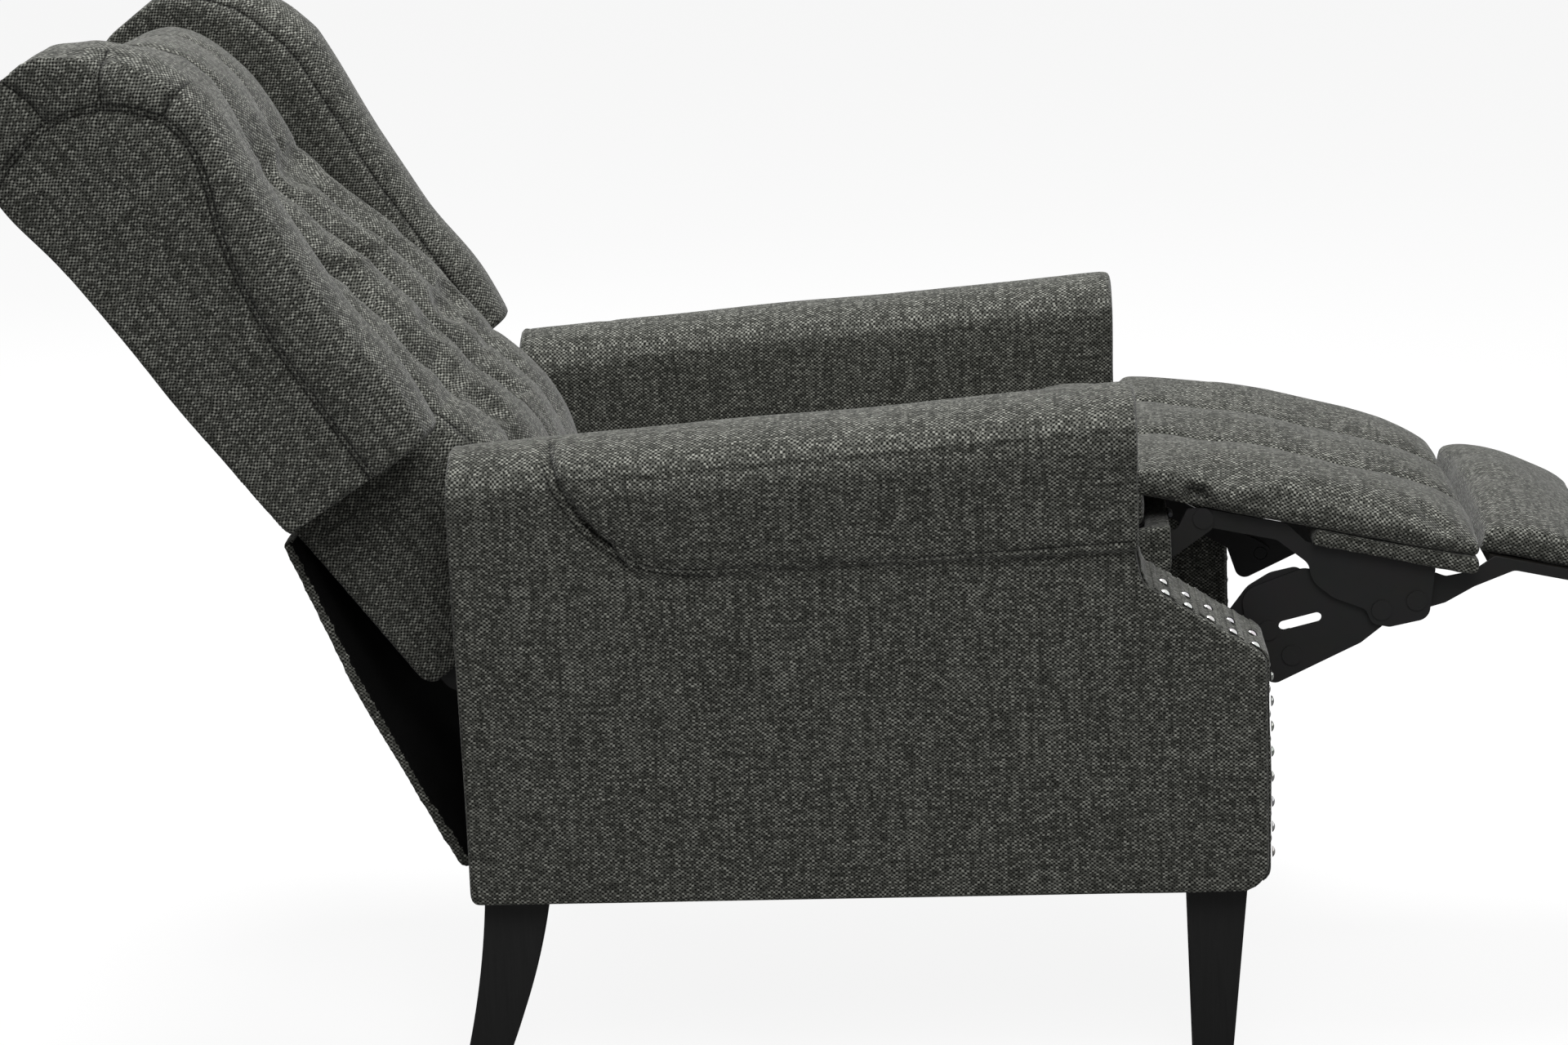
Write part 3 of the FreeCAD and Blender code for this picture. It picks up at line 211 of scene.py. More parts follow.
tweed = {
    "warpPitch": 2.2,  # mm between yarns; the real 1.8 by 1.5 is drawn a little coarse so that it shows
    "weftPitch": 1.75,
    "darkYarn": "#5c5d57",
    "paleYarn": "#d3d4ca",
    # painted shade: the near-black colour that the pits between the yarns are painted, standing for the shade
    # inside them
    "pitAndShade": "#030302",
    "relief": 0.7,  # mm from pit to yarn top
    "streak": 0.14,  # how far thick and thin yarn changes the tone
    "slub": 0.3,  # how strongly the lumps in the yarn show
    "thread": "#0b0b09",
    "threadHalf": 0.5,  # mm, half the width of the sewing thread
    "threadFade": 1.0,
    "stitch": 5.0,  # mm from stitch to stitch
    "drawnInAndShaded": 5,  # mm on each side of a seam: the drawn-in hollow and the shade painted in it
    "drawnDepth": 1.6,
    "drift": 0.0035,  # how far the yarns wander, in metres
    "driftScale": 75.0,
    "lumps": (120, 260),  # stretch of each pattern across and along
    "weftRuns": (18, 420),
    "warpRuns": (200, 14),
}


def makeTweed():
    # woven polyester tweed: a net of heathered grey yarn with a small pit at every other crossing, painted near
    # black as the shade inside it
    material, tree = newMaterial("charcoal tweed")

    def calc(operation, *values, clamp=False):
        settings = {i: v for i, v in enumerate(values) if isinstance(v, (int, float))}
        settings.update({"operation": operation, "use_clamp": clamp})
        links = {i: v for i, v in enumerate(values) if not isinstance(v, (int, float))}
        return addNode(tree, "ShaderNodeMath", settings, links).outputs[0]

    def vector(operation, settings, links):
        return addNode(tree, "ShaderNodeVectorMath", {"operation": operation, **settings}, links).outputs[0]

    def stretched(source, across, along):
        return vector("MULTIPLY", {1: (across, along, 0)}, {0: source})

    def noise(source, scale=1.0, detail=2.0):
        return addNode(tree, "ShaderNodeTexNoise", {"noise_dimensions": "2D", "Scale": scale, "Detail": detail},
                       {"Vector": source}).outputs

    def mapped(name):
        return addNode(tree, "ShaderNodeUVMap", {"uv_map": name}).outputs[0]

    def wave(value):
        return calc("COSINE", calc("MULTIPLY", value, math.pi))

    # the net of yarns, a little wavy, with a pit at every other crossing; the pit's share sets its painted shade
    # and its relief
    place = mapped("weave")
    drift = vector("SCALE", {"Scale": tweed["drift"]}, {0: noise(place, tweed["driftScale"], 3.0)["Color"]})
    moved = vector("ADD", {}, {0: place, 1: drift})
    yarns = stretched(moved, 1000 / tweed["warpPitch"], 1000 / tweed["weftPitch"])
    u, v = addNode(tree, "ShaderNodeSeparateXYZ", links={0: yarns}).outputs[:2]
    pitAndShade = calc("POWER", calc("MULTIPLY_ADD", calc("MULTIPLY", wave(u), wave(v)), -0.5, 0.5), 1.3)
    # each yarn's own tone, its lumps, and streaks where it runs thick
    cell = addNode(tree, "ShaderNodeCombineXYZ", links={0: calc("ROUND", u), 1: calc("ROUND", v)}).outputs[0]
    spots = addNode(tree, "ShaderNodeTexWhiteNoise", {"noise_dimensions": "2D"}, {"Vector": cell})
    fleck = spots.outputs["Value"]
    slub = calc("SUBTRACT", noise(stretched(moved, *tweed["lumps"]))["Fac"], 0.5)
    # the pit's share, which darkens the colour as painted shade and also gives the real relief
    depth = calc("MULTIPLY", pitAndShade, calc("MULTIPLY_ADD", fleck, 0.6, 0.9))
    depth = calc("MULTIPLY_ADD", slub, -tweed["slub"], depth, clamp=True)
    weftStreak = noise(stretched(place, *tweed["weftRuns"]))["Fac"]
    warpStreak = noise(stretched(place, *tweed["warpRuns"]))["Fac"]
    streak = calc("MULTIPLY", calc("ADD", calc("ADD", weftStreak, warpStreak), -1.0), tweed["streak"] * 4)
    lump = calc("MULTIPLY_ADD", slub, tweed["slub"], streak)
    pale = calc("MULTIPLY_ADD", calc("POWER", fleck, 1.7), 0.85, lump, clamp=True)
    yarn = mixColours(tree, pale, tweed["darkYarn"], tweed["paleYarn"])
    # painted shade: the yarn colour is mixed towards near black in each pit
    cloth = mixColours(tree, depth, yarn, tweed["pitAndShade"])
    # the stitched lines: x of this map is how far off the nearest one is, y how far along it
    seam = addNode(tree, "ShaderNodeSeparateXYZ", links={0: mapped("stitch")}).outputs
    off = calc("ABSOLUTE", seam[0])
    edge = calc("SUBTRACT", off, tweed["threadHalf"] * mm)
    line = calc("SUBTRACT", 1.0, calc("DIVIDE", edge, tweed["threadFade"] * mm), clamp=True)
    beat = calc("SINE", calc("MULTIPLY", seam[1], 2 * math.pi / (tweed["stitch"] * mm)))
    dash = calc("MULTIPLY_ADD", beat, 0.2, 0.7, clamp=True)
    # painted shade: the drawn-in hollow beside each seam darkens the cloth up to 0.4 of the way to the thread
    # colour, as the shade in it; the same hollow also gives the real relief
    hollowAndShade = calc("POWER", calc("SUBTRACT", 1.0, calc("DIVIDE", off, tweed["drawnInAndShaded"] * mm), clamp=True), 2.0)
    dark = calc("MAXIMUM", calc("MULTIPLY", line, dash), calc("MULTIPLY", hollowAndShade, 0.4))
    # the cloth with its real thread and its painted seam shade
    sewn = mixColours(tree, dark, cloth, tweed["thread"])
    drawn = raised(tree, calc("SUBTRACT", 1.0, hollowAndShade), 0.8, tweed["drawnDepth"])
    relief = raised(tree, calc("SUBTRACT", 1.0, depth), 0.7, tweed["relief"], drawn)
    settings = {"Roughness": 0.95, "Sheen Weight": 0.3, "Sheen Roughness": 0.4, "Specular IOR Level": 0.1}
    links = {"Base Color": sewn, "Normal": relief}
    finishMaterial(tree, addNode(tree, "ShaderNodeBsdfPrincipled", settings, links))
    return material


def objectPlace(tree):
    return addNode(tree, "ShaderNodeTexCoord").outputs["Object"]


def makeSteel(name, colour, roughness, metallic):
    # pressed steel plate in satin black enamel, or bare: faint orange peel and rubbed streaks
    material, tree = newMaterial(name)
    place = objectPlace(tree)
    peel = addNode(tree, "ShaderNodeTexNoise", {"Scale": 420.0, "Detail": 2.0}, {"Vector": place})
    rub = addNode(tree, "ShaderNodeTexNoise", {"Scale": 26.0, "Detail": 6.0, "Roughness": 0.7}, {"Vector": place})
    span = {3: roughness - 0.08, 4: roughness + 0.12}
    gloss = addNode(tree, "ShaderNodeMapRange", span, {0: rub.outputs["Fac"]})
    rubbed = {"data_type": "RGBA", "blend_type": "MULTIPLY", 0: 0.35, 6: toLinear(colour)}
    tone = addNode(tree, "ShaderNodeMix", rubbed, {7: rub.outputs["Color"]})
    settings = {"Metallic": metallic}
    if not metallic:
        settings["Specular IOR Level"] = 0.3  # thin enamel
    links = {"Base Color": tone.outputs[2], "Roughness": gloss.outputs[0],
             "Normal": raised(tree, peel.outputs["Fac"], 0.12, 0.15)}
    finishMaterial(tree, addNode(tree, "ShaderNodeBsdfPrincipled", settings, links))
    return material


def finishMatt(tree, share, dark, pale, relief, settings):
    # two tones by one pattern, which also gives the relief: its strength and its depth in mm
    links = {"Base Color": mixColours(tree, share, dark, pale), "Normal": raised(tree, share, *relief)}
    finishMaterial(tree, addNode(tree, "ShaderNodeBsdfPrincipled", settings, links))


def makeWood(name, pale, dark, roughness, grain, stretch=(1, 1, 0.06)):
    # timber: long thin growth lines up the piece, under lacquer or raw
    material, tree = newMaterial(name)
    along = addNode(tree, "ShaderNodeMapping", {"Scale": stretch}, {"Vector": objectPlace(tree)})
    lines = addNode(tree, "ShaderNodeTexNoise", {"Scale": 1000 / grain, "Detail": 5.0, "Distortion": 0.6},
                    {"Vector": along.outputs[0]})
    settings = {"Roughness": roughness, "Specular IOR Level": 0.22}
    finishMatt(tree, lines.outputs["Fac"], dark, pale, (0.2, 0.15), settings)
    return material


def makeWebbing():
    # jute and rubber webbing: close ribs across
    material, tree = newMaterial("jute webbing")
    ribs = addNode(tree, "ShaderNodeTexWave",
                   {"wave_type": "BANDS", "bands_direction": "Y", "Scale": 160.0, "Distortion": 0.4},
                   {"Vector": objectPlace(tree)})
    finishMatt(tree, ribs.outputs["Fac"], "#4b453c", "#7d7466", (0.5, 0.4), {"Roughness": 0.85})
    return material


def makeLining():
    # black spun-bonded lining: matt, with a faint pressed grid
    material, tree = newMaterial("black lining cloth")
    grid = addNode(tree, "ShaderNodeTexVoronoi", {"Scale": 450.0}, {"Vector": objectPlace(tree)})
    finishMatt(tree, grid.outputs["Distance"], "#0b0b0b", "#181818", (0.3, 0.2),
               {"Roughness": 0.9, "Specular IOR Level": 0.1})
    return material


lining = makeLining()
finishes = {
    "tweed": makeTweed(),
    "black_wood": makeWood("black lacquered beech", "#2e2e2e", "#222222", 0.42, 3.0),
    "frame_wood": makeWood("raw poplar", "#b99a6c", "#96774c", 0.7, 4.0, (0.06, 1, 1)),
    "board_wood": makeWood("dark faced plywood", "#24221f", "#191816", 0.6, 5.0, (1, 0.06, 1)),
    "webbing": makeWebbing(),
    "black_steel": makeSteel("satin black steel", "#282828", 0.46, 0.0),
    "bare_steel": makeSteel("spring wire", "#8a8a8c", 0.34, 1.0),
    "nail_chrome": makeSteel("nickelled nail", "#f2f2f0", 0.14, 1.0),
}
slots = {part["node"]: part["material_slot"] for part in frame["record"]["subparts"]}
for name, node in nodes.items():
    setMaterial(node, finishes[slots[name]])
print("stage: materials made")


# shared ways of making soft pieces

# each leaning part has its own axes: n square to the back and s up along it,
# or u along the footrest and w square to it
back = {"pivot": (-248.335 * mm, 331.0 * mm), "lean": math.radians(37.77)}
rest = {"pivot": (339.665 * mm, 484.0 * mm), "lean": math.radians(-12.0)}


def axes(part):
    lean = part["lean"]
    return np.array([math.cos(lean), 0, math.sin(lean)]), np.array([-math.sin(lean), 0, math.cos(lean)])


def toLocal(part, values):
    # along the part's first axis, y, and along its second, in metres
    first, second = axes(part)
    start = values - np.array([part["pivot"][0], 0, part["pivot"][1]])
    return start @ first, values[:, 1], start @ second


def local(piece, part):
    # the same for a piece's own points, in mm
    return (values / mm for values in toLocal(part, points(piece)))


def slide(part, ahead, up):
    # moves in mm along the part's two axes, as metres in the frame
    first, second = axes(part)
    return (ahead * mm)[:, None] * first + (up * mm)[:, None] * second


def profile(table, at):
    # the value that a table of pairs gives, straight between its points
    return np.interp(at, *zip(*table))


def selectOnly(piece):
    bpy.ops.object.select_all(action="DESELECT")
    piece.select_set(True)
    bpy.context.view_layer.objects.active = piece


def applyModifier(piece, kind, **settings):
    selectOnly(piece)
    modifier = piece.modifiers.new(kind.lower(), kind)
    for key, value in settings.items():
        setattr(modifier, key, value)
    bpy.ops.object.modifier_apply(modifier=modifier.name)


def points(piece):
    values = np.empty(len(piece.data.vertices) * 3)
    piece.data.vertices.foreach_get("co", values)
    return values.reshape(-1, 3)


def normals(piece):
    values = np.empty(len(piece.data.vertices) * 3)
    piece.data.vertices.foreach_get("normal", values)
    return values.reshape(-1, 3)


def putPoints(piece, values):
    piece.data.vertices.foreach_set("co", values.ravel())
    piece.data.update()


def push(piece, amount):
    # moves each point along its normal, in metres
    putPoints(piece, points(piece) + normals(piece) * amount[:, None])


def smooth(piece, rounds, **settings):
    applyModifier(piece, "SMOOTH", factor=0.5, iterations=rounds, **settings)


def subdivide(piece):
    applyModifier(piece, "SUBSURF", levels=1, render_levels=1)


def addGroup(piece, name, share):
    # a vertex group in ten steps of weight
    group = piece.vertex_groups.new(name=name)
    level = np.round(share * 10).astype(int)
    for step in range(1, 11):
        group.add(np.flatnonzero(level == step).tolist(), step / 10, "REPLACE")


def faceCorners(mesh):
    # how many corners each face has, and the point at each corner
    totals = np.empty(len(mesh.polygons), np.int32)
    mesh.polygons.foreach_get("loop_total", totals)
    corner = np.empty(len(mesh.loops), np.int32)
    mesh.loops.foreach_get("vertex_index", corner)
    return totals, corner


def addMap(mesh, name, u, v):
    layer = mesh.uv_layers.new(name=name)
    layer.data.foreach_set("uv", np.stack([u, v], 1).astype(np.float32).ravel())


stitching = {"reach": 30.0, "none": 1000.0}  # mm from a line that its map covers, and what it says elsewhere


def sew(piece, a, b, lines):
    # writes the stitched lines: each is a path in the plane (a, b) in mm, with the points that may carry it
    mesh = piece.data
    totals, corner = faceCorners(mesh)
    face = np.repeat(np.arange(len(totals)), totals)
    midA, midB = (np.bincount(face, values[corner]) / totals for values in (a, b))
    best = np.full(len(totals), stitching["reach"])
    origin = np.zeros((len(totals), 3))
    way = np.tile([1.0, 0.0], (len(totals), 1))
    for path, where in lines:
        carries = np.bincount(face, where[corner]) / totals > 0.5
        gone = 0.0
        for (a0, b0), (a1, b1) in zip(path, path[1:]):
            length = math.hypot(a1 - a0, b1 - b0)
            da, db = (a1 - a0) / length, (b1 - b0) / length
            along = np.clip((midA - a0) * da + (midB - b0) * db, 0, length)
            distance = np.hypot(midA - a0 - along * da, midB - b0 - along * db)
            nearer = carries & (distance < best)
            best[nearer] = distance[nearer]
            origin[nearer] = (a0, b0, gone)
            way[nearer] = (da, db)
            gone += length
    offA, offB = a[corner] - origin[face, 0], b[corner] - origin[face, 1]
    across = offB * way[face, 0] - offA * way[face, 1]
    along = offA * way[face, 0] + offB * way[face, 1] + origin[face, 2]
    across = np.where(best[face] < stitching["reach"] - 0.1, across, stitching["none"])
    addMap(mesh, "stitch", across * mm, along * mm)


def dip(distance, width):
    return np.exp(-(distance / width) ** 2)


def ramp(value, low, high):
    t = np.clip((value - low) / (high - low), 0, 1)
    return t * t * (3 - 2 * t)


def pathDistance(a, b, path):
    # least distance from points (a, b) to an open path
    best = np.full(len(a), 1e9)
    for (a0, b0), (a1, b1) in zip(path, path[1:]):
        da, db = a1 - a0, b1 - b0
        t = np.clip(((a - a0) * da + (b - b0) * db) / (da * da + db * db), 0, 1)
        best = np.minimum(best, np.hypot(a - a0 - t * da, b - b0 - t * db))
    return best


def smoothPath(path, rounds=3):
    # cuts the corners of a measured path, its ends kept
    line = [tuple(p) for p in path]
    for _ in range(rounds):
        cut = [line[0]]
        for p, q in zip(line, line[1:]):
            cut += [tuple(share * i + (1 - share) * j for i, j in zip(p, q)) for share in (0.75, 0.25)]
        line = cut + [line[-1]]
    return line


def ripple(values, scale, seed):
    # soft smooth waves for loose cloth, from a few fixed sines
    waves = np.zeros(len(values))
    spin = np.random.default_rng(seed)
    for _ in range(7):
        way = spin.normal(size=3)
        way /= np.linalg.norm(way)
        pitch = 2 * math.pi / (scale * spin.uniform(0.6, 1.5))
        waves += np.sin(values @ way * pitch + spin.uniform(0, 6.28))
    return waves / 7 ** 0.5


def offsetPath(path, offset):
    # the same path moved sideways, to the left of its way when the offset is above 0
    moved = []
    for i, (a, b) in enumerate(path):
        (a0, b0), (a1, b1) = path[max(i - 1, 0)], path[min(i + 1, len(path) - 1)]
        length = math.hypot(a1 - a0, b1 - b0)
        moved.append((a - (b1 - b0) / length * offset, b + (a1 - a0) / length * offset))
    return moved


def copyOf(node, name):
    # a loose copy of a solid, its triangles joined up
    piece = nodes[node].copy()
    piece.data = nodes[node].data.copy()
    piece.parent = None
    for key in list(piece.keys()):
        del piece[key]
    piece.name = piece.data.name = name
    bpy.context.scene.collection.objects.link(piece)
    selectOnly(piece)
    bpy.ops.object.mode_set(mode="EDIT")
    bpy.ops.mesh.select_all(action="SELECT")
    bpy.ops.mesh.remove_doubles(threshold=0.00002)
    bpy.ops.object.mode_set(mode="OBJECT")
    return piece


def joinInto(piece, others):
    if others:
        selectOnly(piece)
        for other in others:
            other.select_set(True)
        bpy.ops.object.join()


def addBlock(middle, sizes, turn=Matrix.Identity(4)):
    bpy.ops.mesh.primitive_cube_add(size=1)
    block = bpy.context.active_object
    block.data.transform(Matrix.Translation(middle) @ turn @ Matrix.Diagonal((*sizes, 1)))
    return block


def backBlock(*ranges):
    # a block square to the leaning back, from its n, y and s in mm
    first, second = axes(back)
    sizes = [abs(high - low) * mm for low, high in ranges]
    middle = [(low + high) / 2 * mm for low, high in ranges]
    at = np.array([back["pivot"][0], 0, back["pivot"][1]]) + first * middle[0] + second * middle[2]
    at[1] = middle[1]
    turn = Matrix((first, (0, 1, 0), second)).transposed()
    return addBlock(at, sizes, turn.to_4x4())


def evenMesh(piece, voxel, rounds):
    # even faces all over, so that the surface can be shaped as cloth
    applyModifier(piece, "REMESH", mode="VOXEL", voxel_size=voxel)
    smooth(piece, rounds)


def softCopy(node, name, voxel, rounds):
    piece = copyOf(node, name)
    evenMesh(piece, voxel, rounds)
    return piece


cover = {"quality": 5, "mass": 0.3, "tension_stiffness": 12, "compression_stiffness": 12, "shear_stiffness": 4,
         "bending_stiffness": 0.4, "use_pressure": True, "vertex_group_mass": "sewn"}
puffFrames = 20


def puff(piece, held, pressure, spare, cap):
    # blows the cover up as a real cloth; held is 1 where it is sewn down or lies on the frame
    start = points(piece).copy()
    addGroup(piece, "sewn", np.clip(held, 0, 1))
    selectOnly(piece)
    modifier = piece.modifiers.new("cloth", "CLOTH")
    for key, value in cover.items():
        setattr(modifier.settings, key, value)
    modifier.settings.uniform_pressure_force = pressure
    modifier.settings.shrink_min = -spare
    modifier.settings.effector_weights.gravity = 0
    modifier.collision_settings.use_collision = False
    modifier.point_cache.frame_end = puffFrames
    for step in range(1, puffFrames + 1):
        bpy.context.scene.frame_set(step)
    bpy.ops.object.modifier_apply(modifier=modifier.name)
    moved = points(piece) - start
    length = np.linalg.norm(moved, axis=1)
    most, mean = (round(float(value) / mm, 1) for value in (length.max(), length.mean()))
    print("stage:", piece.name, "blown up, most", most, "mm, mean", mean)
    putPoints(piece, start + moved * np.minimum(1, cap / np.maximum(length, 1e-9))[:, None])
    piece.vertex_groups.clear()
    bpy.context.scene.frame_set(1)


def weaveMap(piece, lean):
    # lays the cloth on each face from the side it looks to most, its rows level or across the back
    mesh = piece.data
    turn = {"pivot": (0, 0), "lean": lean}
    n, y, s = toLocal(turn, points(piece))
    faceNormals = np.empty(len(mesh.polygons) * 3)
    mesh.polygons.foreach_get("normal", faceNormals)
    faceNormals = faceNormals.reshape(-1, 3)
    first, second = axes(turn)
    look = np.abs(np.stack([faceNormals @ first, faceNormals[:, 1], faceNormals @ second], 1)).argmax(1)
    totals, corner = faceCorners(mesh)
    look = np.repeat(look, totals)
    n, y, s = n[corner], y[corner], s[corner]
    addMap(mesh, "weave", np.where(look == 0, y, n), np.where(look == 2, y, s))


def dress(piece, body, replaced, lean):
    # smooth shading, cloth, the body it moves with and the frame's nodes that it replaces hidden, once the shape
    # is final
    if "stitch" not in piece.data.uv_layers:
        nowhere = np.zeros(len(piece.data.vertices))
        sew(piece, nowhere, nowhere, [])
    weaveMap(piece, lean)
    setMaterial(piece, finishes["tweed"])
    selectOnly(piece)
    bpy.ops.object.shade_smooth()
    if body:
        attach(piece, body)
    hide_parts(*replaced)
    print("stage:", piece.name, len(piece.data.polygons), "faces")


def mirrored(piece, name):
    # the same piece for the other side of the chair, with its own mesh
    twin = piece.copy()
    twin.data = piece.data.copy()
    twin.name = twin.data.name = name
    bpy.context.scene.collection.objects.link(twin)
    twin.data.transform(Matrix.Diagonal((1, -1, 1, 1)))
    twin.data.flip_normals()
    return twin


# wings

wing = {
    "voxel": 2.6 * mm,
    "fill": 0.8,
    "front": [(256, 97), (284, 110), (443, 120), (594, 140), (643, 130), (666, 122), (693, 102), (712, 64),
              (719, 40)],  # s and n of its front line
    "seam": [(-40, 653), (-30, 658), (-2, 664), (27, 665), (57, 656), (85, 636), (105, 606), (106, 571),
             (92, 536), (78, 511), (61, 462), (50, 407), (45, 348), (42, 313),
             (38, 250)],  # n, s of the panel's stitching
    "arch": 600,  # s above which the panel ends under the seam's arch
    "secondRow": 5.0,  # the rows of stitches lie this far apart
    "pleats": [[(72, 647), (79, 660), (90, 673), (100, 681)], [(106, 610), (119, 616), (132, 619), (146, 618)],
               [(26, 670), (28, 689), (26, 699), (24, 708)]],
    "rim": 4.0,  # how far the stuffed edge stands out of the panel
    "innerSeam": 24,  # behind the front line, on the face towards the sitter
    "corner": (84, 281),  # middle of the lower front corner's round
    "cornerRound": 28,
    "shoulder": [(596, 0), (618, 5), (643, 9), (666, 10), (681, 9), (693, 5), (705, 0)],  # s, how far drawn back
    "lowerFront": 9,  # how far the front stands out below the shoulder
    "topRise": 9,
    "bottomDrop": 4,
    "square": 2,  # how far the edge round the outer side is stuffed out
}


def wingFront(s):
    return profile(wing["front"], s)


def insidePanel(n, s):
    # true below and behind the stitched line
    path = wing["seam"]
    crown = max(range(len(path)), key=lambda i: path[i][1])
    arch = profile(path[:7], n)
    front = profile([(high, ahead) for ahead, high in reversed(path[crown:])], s)
    return np.where(s > wing["arch"], (s < arch) & (n < max(ahead for ahead, _ in path)), n < front)


def drawRound(n, s, corner, radius, ways):
    # how far points beyond a corner's round have to come in, as a share of their way from its middle
    offN, offS = n - corner[0], s - corner[1]
    far = np.hypot(offN, offS)
    beyond = (offN * ways[0] > 0) & (offS * ways[1] > 0) & (far > radius)
    return np.where(beyond, radius / np.maximum(far, 1) - 1, 0), offN, offS


def shapeWing(piece):
    # the measured outline: shoulder drawn back, top lifted, lower front corner round
    where = points(piece)
    n, _, s = local(piece, back)
    ahead = ramp(s, 400, 300) * ramp(n, 40, 100) * wing["lowerFront"]
    ahead = ahead - profile(wing["shoulder"], s) * ramp(n, 60, 110)
    up = wing["topRise"] * ramp(s, 640, 700) * ramp(n, 85, 50) - wing["bottomDrop"] * ramp(s, 340, 262)
    pull, offN, offS = drawRound(n + ahead, s + up, wing["corner"], wing["cornerRound"], (1, -1))
    putPoints(piece, where + slide(back, ahead + pull * offN, up + pull * offS))


def stuffWing(piece):
    # the stuffed edge, the panel, the pleats and the inner seam; gives the lines that are stitched
    facing = normals(piece)
    n, _, s = local(piece, back)
    outer, inner = (ramp(way * facing[:, 1], 0.35, 0.8) for way in (-1, 1))
    path = smoothPath(wing["seam"])
    second = offsetPath(path, wing["secondRow"])
    distance = pathDistance(n, s, path)
    inside = np.where(insidePanel(n, s), distance, -distance)
    # the stuffed edge swells outside the stitches, the panel lies flat inside them
    amount = wing["rim"] * mm * outer * ramp(-inside, -2, 18)
    amount -= 1.6 * mm * outer * dip(inside, 3.5)
    amount += outer * ramp(inside, 4, 40) * 1.2 * mm * ripple(points(piece), 0.22, 4)
    outward = ramp(-facing[:, 1], -0.2, 0.4)
    pleats = [smoothPath(pleat) for pleat in wing["pleats"]]
    for pleat in pleats:
        near = pathDistance(n, s, pleat)
        over = outward * ramp(wingFront(s) - n, 2, 16)
        amount -= over * mm * (4.0 * dip(near, 4.5) + 2.0 * dip(near, 14.0))
    closing = [(wingFront(at) - wing["innerSeam"], at) for at in range(262, 690, 20)]
    amount -= 1.8 * mm * inner * dip(pathDistance(n, s, closing), 4.0)
    amount += 0.6 * mm * ripple(points(piece), 0.13, 3)
    push(piece, amount)
    return [(path, outer), (second, outer), (closing, inner)] + [(pleat, outward) for pleat in pleats]


def makeWings():
    piece = softCopy("right_wing", "rightWing", 4 * mm, 1)
    shapeWing(piece)
    evenMesh(piece, wing["voxel"], 5)
    push(piece, wing["square"] * mm * dip(-normals(piece)[:, 1] - 0.6, 0.3))
    lines = stuffWing(piece)
    smooth(piece, 2)
    n, _, s = local(piece, back)
    sew(piece, n, s, lines)
    twin = mirrored(piece, "leftWing")
    dress(piece, "back", ["right_wing"], back["lean"])
    dress(twin, "back", ["left_wing"], back["lean"])


# tufted back cushion, its sides drawn flat over the posts

cushion = {
    "voxel": 6.0 * mm,
    "fill": 0.7,
    "columns": [-117, 0, 117],  # y of the sewn lines
    "rows": [279, 392, 515],  # s of the tufts
    "lowTuft": 178,  # on the outer two lines
    "groove": [(180, 1), (240, 5), (310, 18), (390, 20), (465, 26), (505, 22), (560, 6), (650, 2)],  # s, depth
    "tuftDepth": 10,
    "seamEnds": (105, 668),
    "weltEnds": (105, 670),
    "welt": 214,
    "sides": (221, 234.6),  # y of the cloth drawn over the posts
    "depth": (-61, 8),  # n of it
    "height": (81, 672),
    "foot": ((-225, 225), (81, 118)),  # y and s of the cloth drawn under
    "pressure": 3.0,
    "spare": 0.015,  # cloth to spare, which makes the folds
    "cap": 12 * mm,
    "full": [(140, 8), (200, 7), (262, 5), (338, 27), (400, 38), (461, 31), (500, 27), (521, 22), (544, 22),
             (590, 26), (627, 26), (662, 30), (689, 29)],  # s, how far the front stands out
    "topRise": 9,
    "heel": (-48, 100),  # middle of the lower rear corner's round
    "heelRound": 26,
}


def roundHeel(piece):
    # the lower rear corner of the back, drawn round under the pull of the cloth
    n, _, s = local(piece, back)
    pull, offN, offS = drawRound(n, s, cushion["heel"], cushion["heelRound"], (-1, -1))
    putPoints(piece, points(piece) + slide(back, pull * offN, pull * offS))


def tuftRows(column):
    return cushion["rows"] + ([cushion["lowTuft"]] if column else [])


def drawTufts(piece):
    # draws the sewn lines and tufts in and fills the front out; gives where the cover is held
    n, y, s = local(piece, back)
    ahead = ramp(normals(piece) @ axes(back)[0], 0.1, 0.75)
    reach = ramp(s, 690, 655) * ramp(s, 100, 150)
    amount = np.zeros(len(y))
    held = np.zeros(len(y))
    for column in cushion["columns"]:
        away = np.abs(y - column)
        amount -= ahead * reach * mm * profile(cushion["groove"], s) * dip(away, 25)
        held = np.maximum(held, ahead * reach * dip(away, 5) * (0.2 + 0.6 * ramp(s, 600, 530)))
        for row in tuftRows(column):
            amount -= ahead * mm * cushion["tuftDepth"] * dip(away, 24) * dip(s - row, 24)
            held = np.maximum(held, ahead * dip(away, 8) * dip(s - row, 10))
    welt = np.abs(np.abs(y) - cushion["welt"])
    held = np.maximum(held, ahead * ramp(s, 100, 170) * dip(welt, 5) * 0.4)
    held = np.maximum(held, ramp(n, 12, -20))
    push(piece, amount)
    full = profile(cushion["full"], s) * ramp(n, -30, 20) * ramp(240 - np.abs(y), 12, 40)
    rise = cushion["topRise"] * ramp(s, 640, 690) * ramp(n, -45, -10)
    first, second = axes(back)
    putPoints(piece, points(piece) + (full * mm)[:, None] * first + (rise * mm)[:, None] * second)
    return held


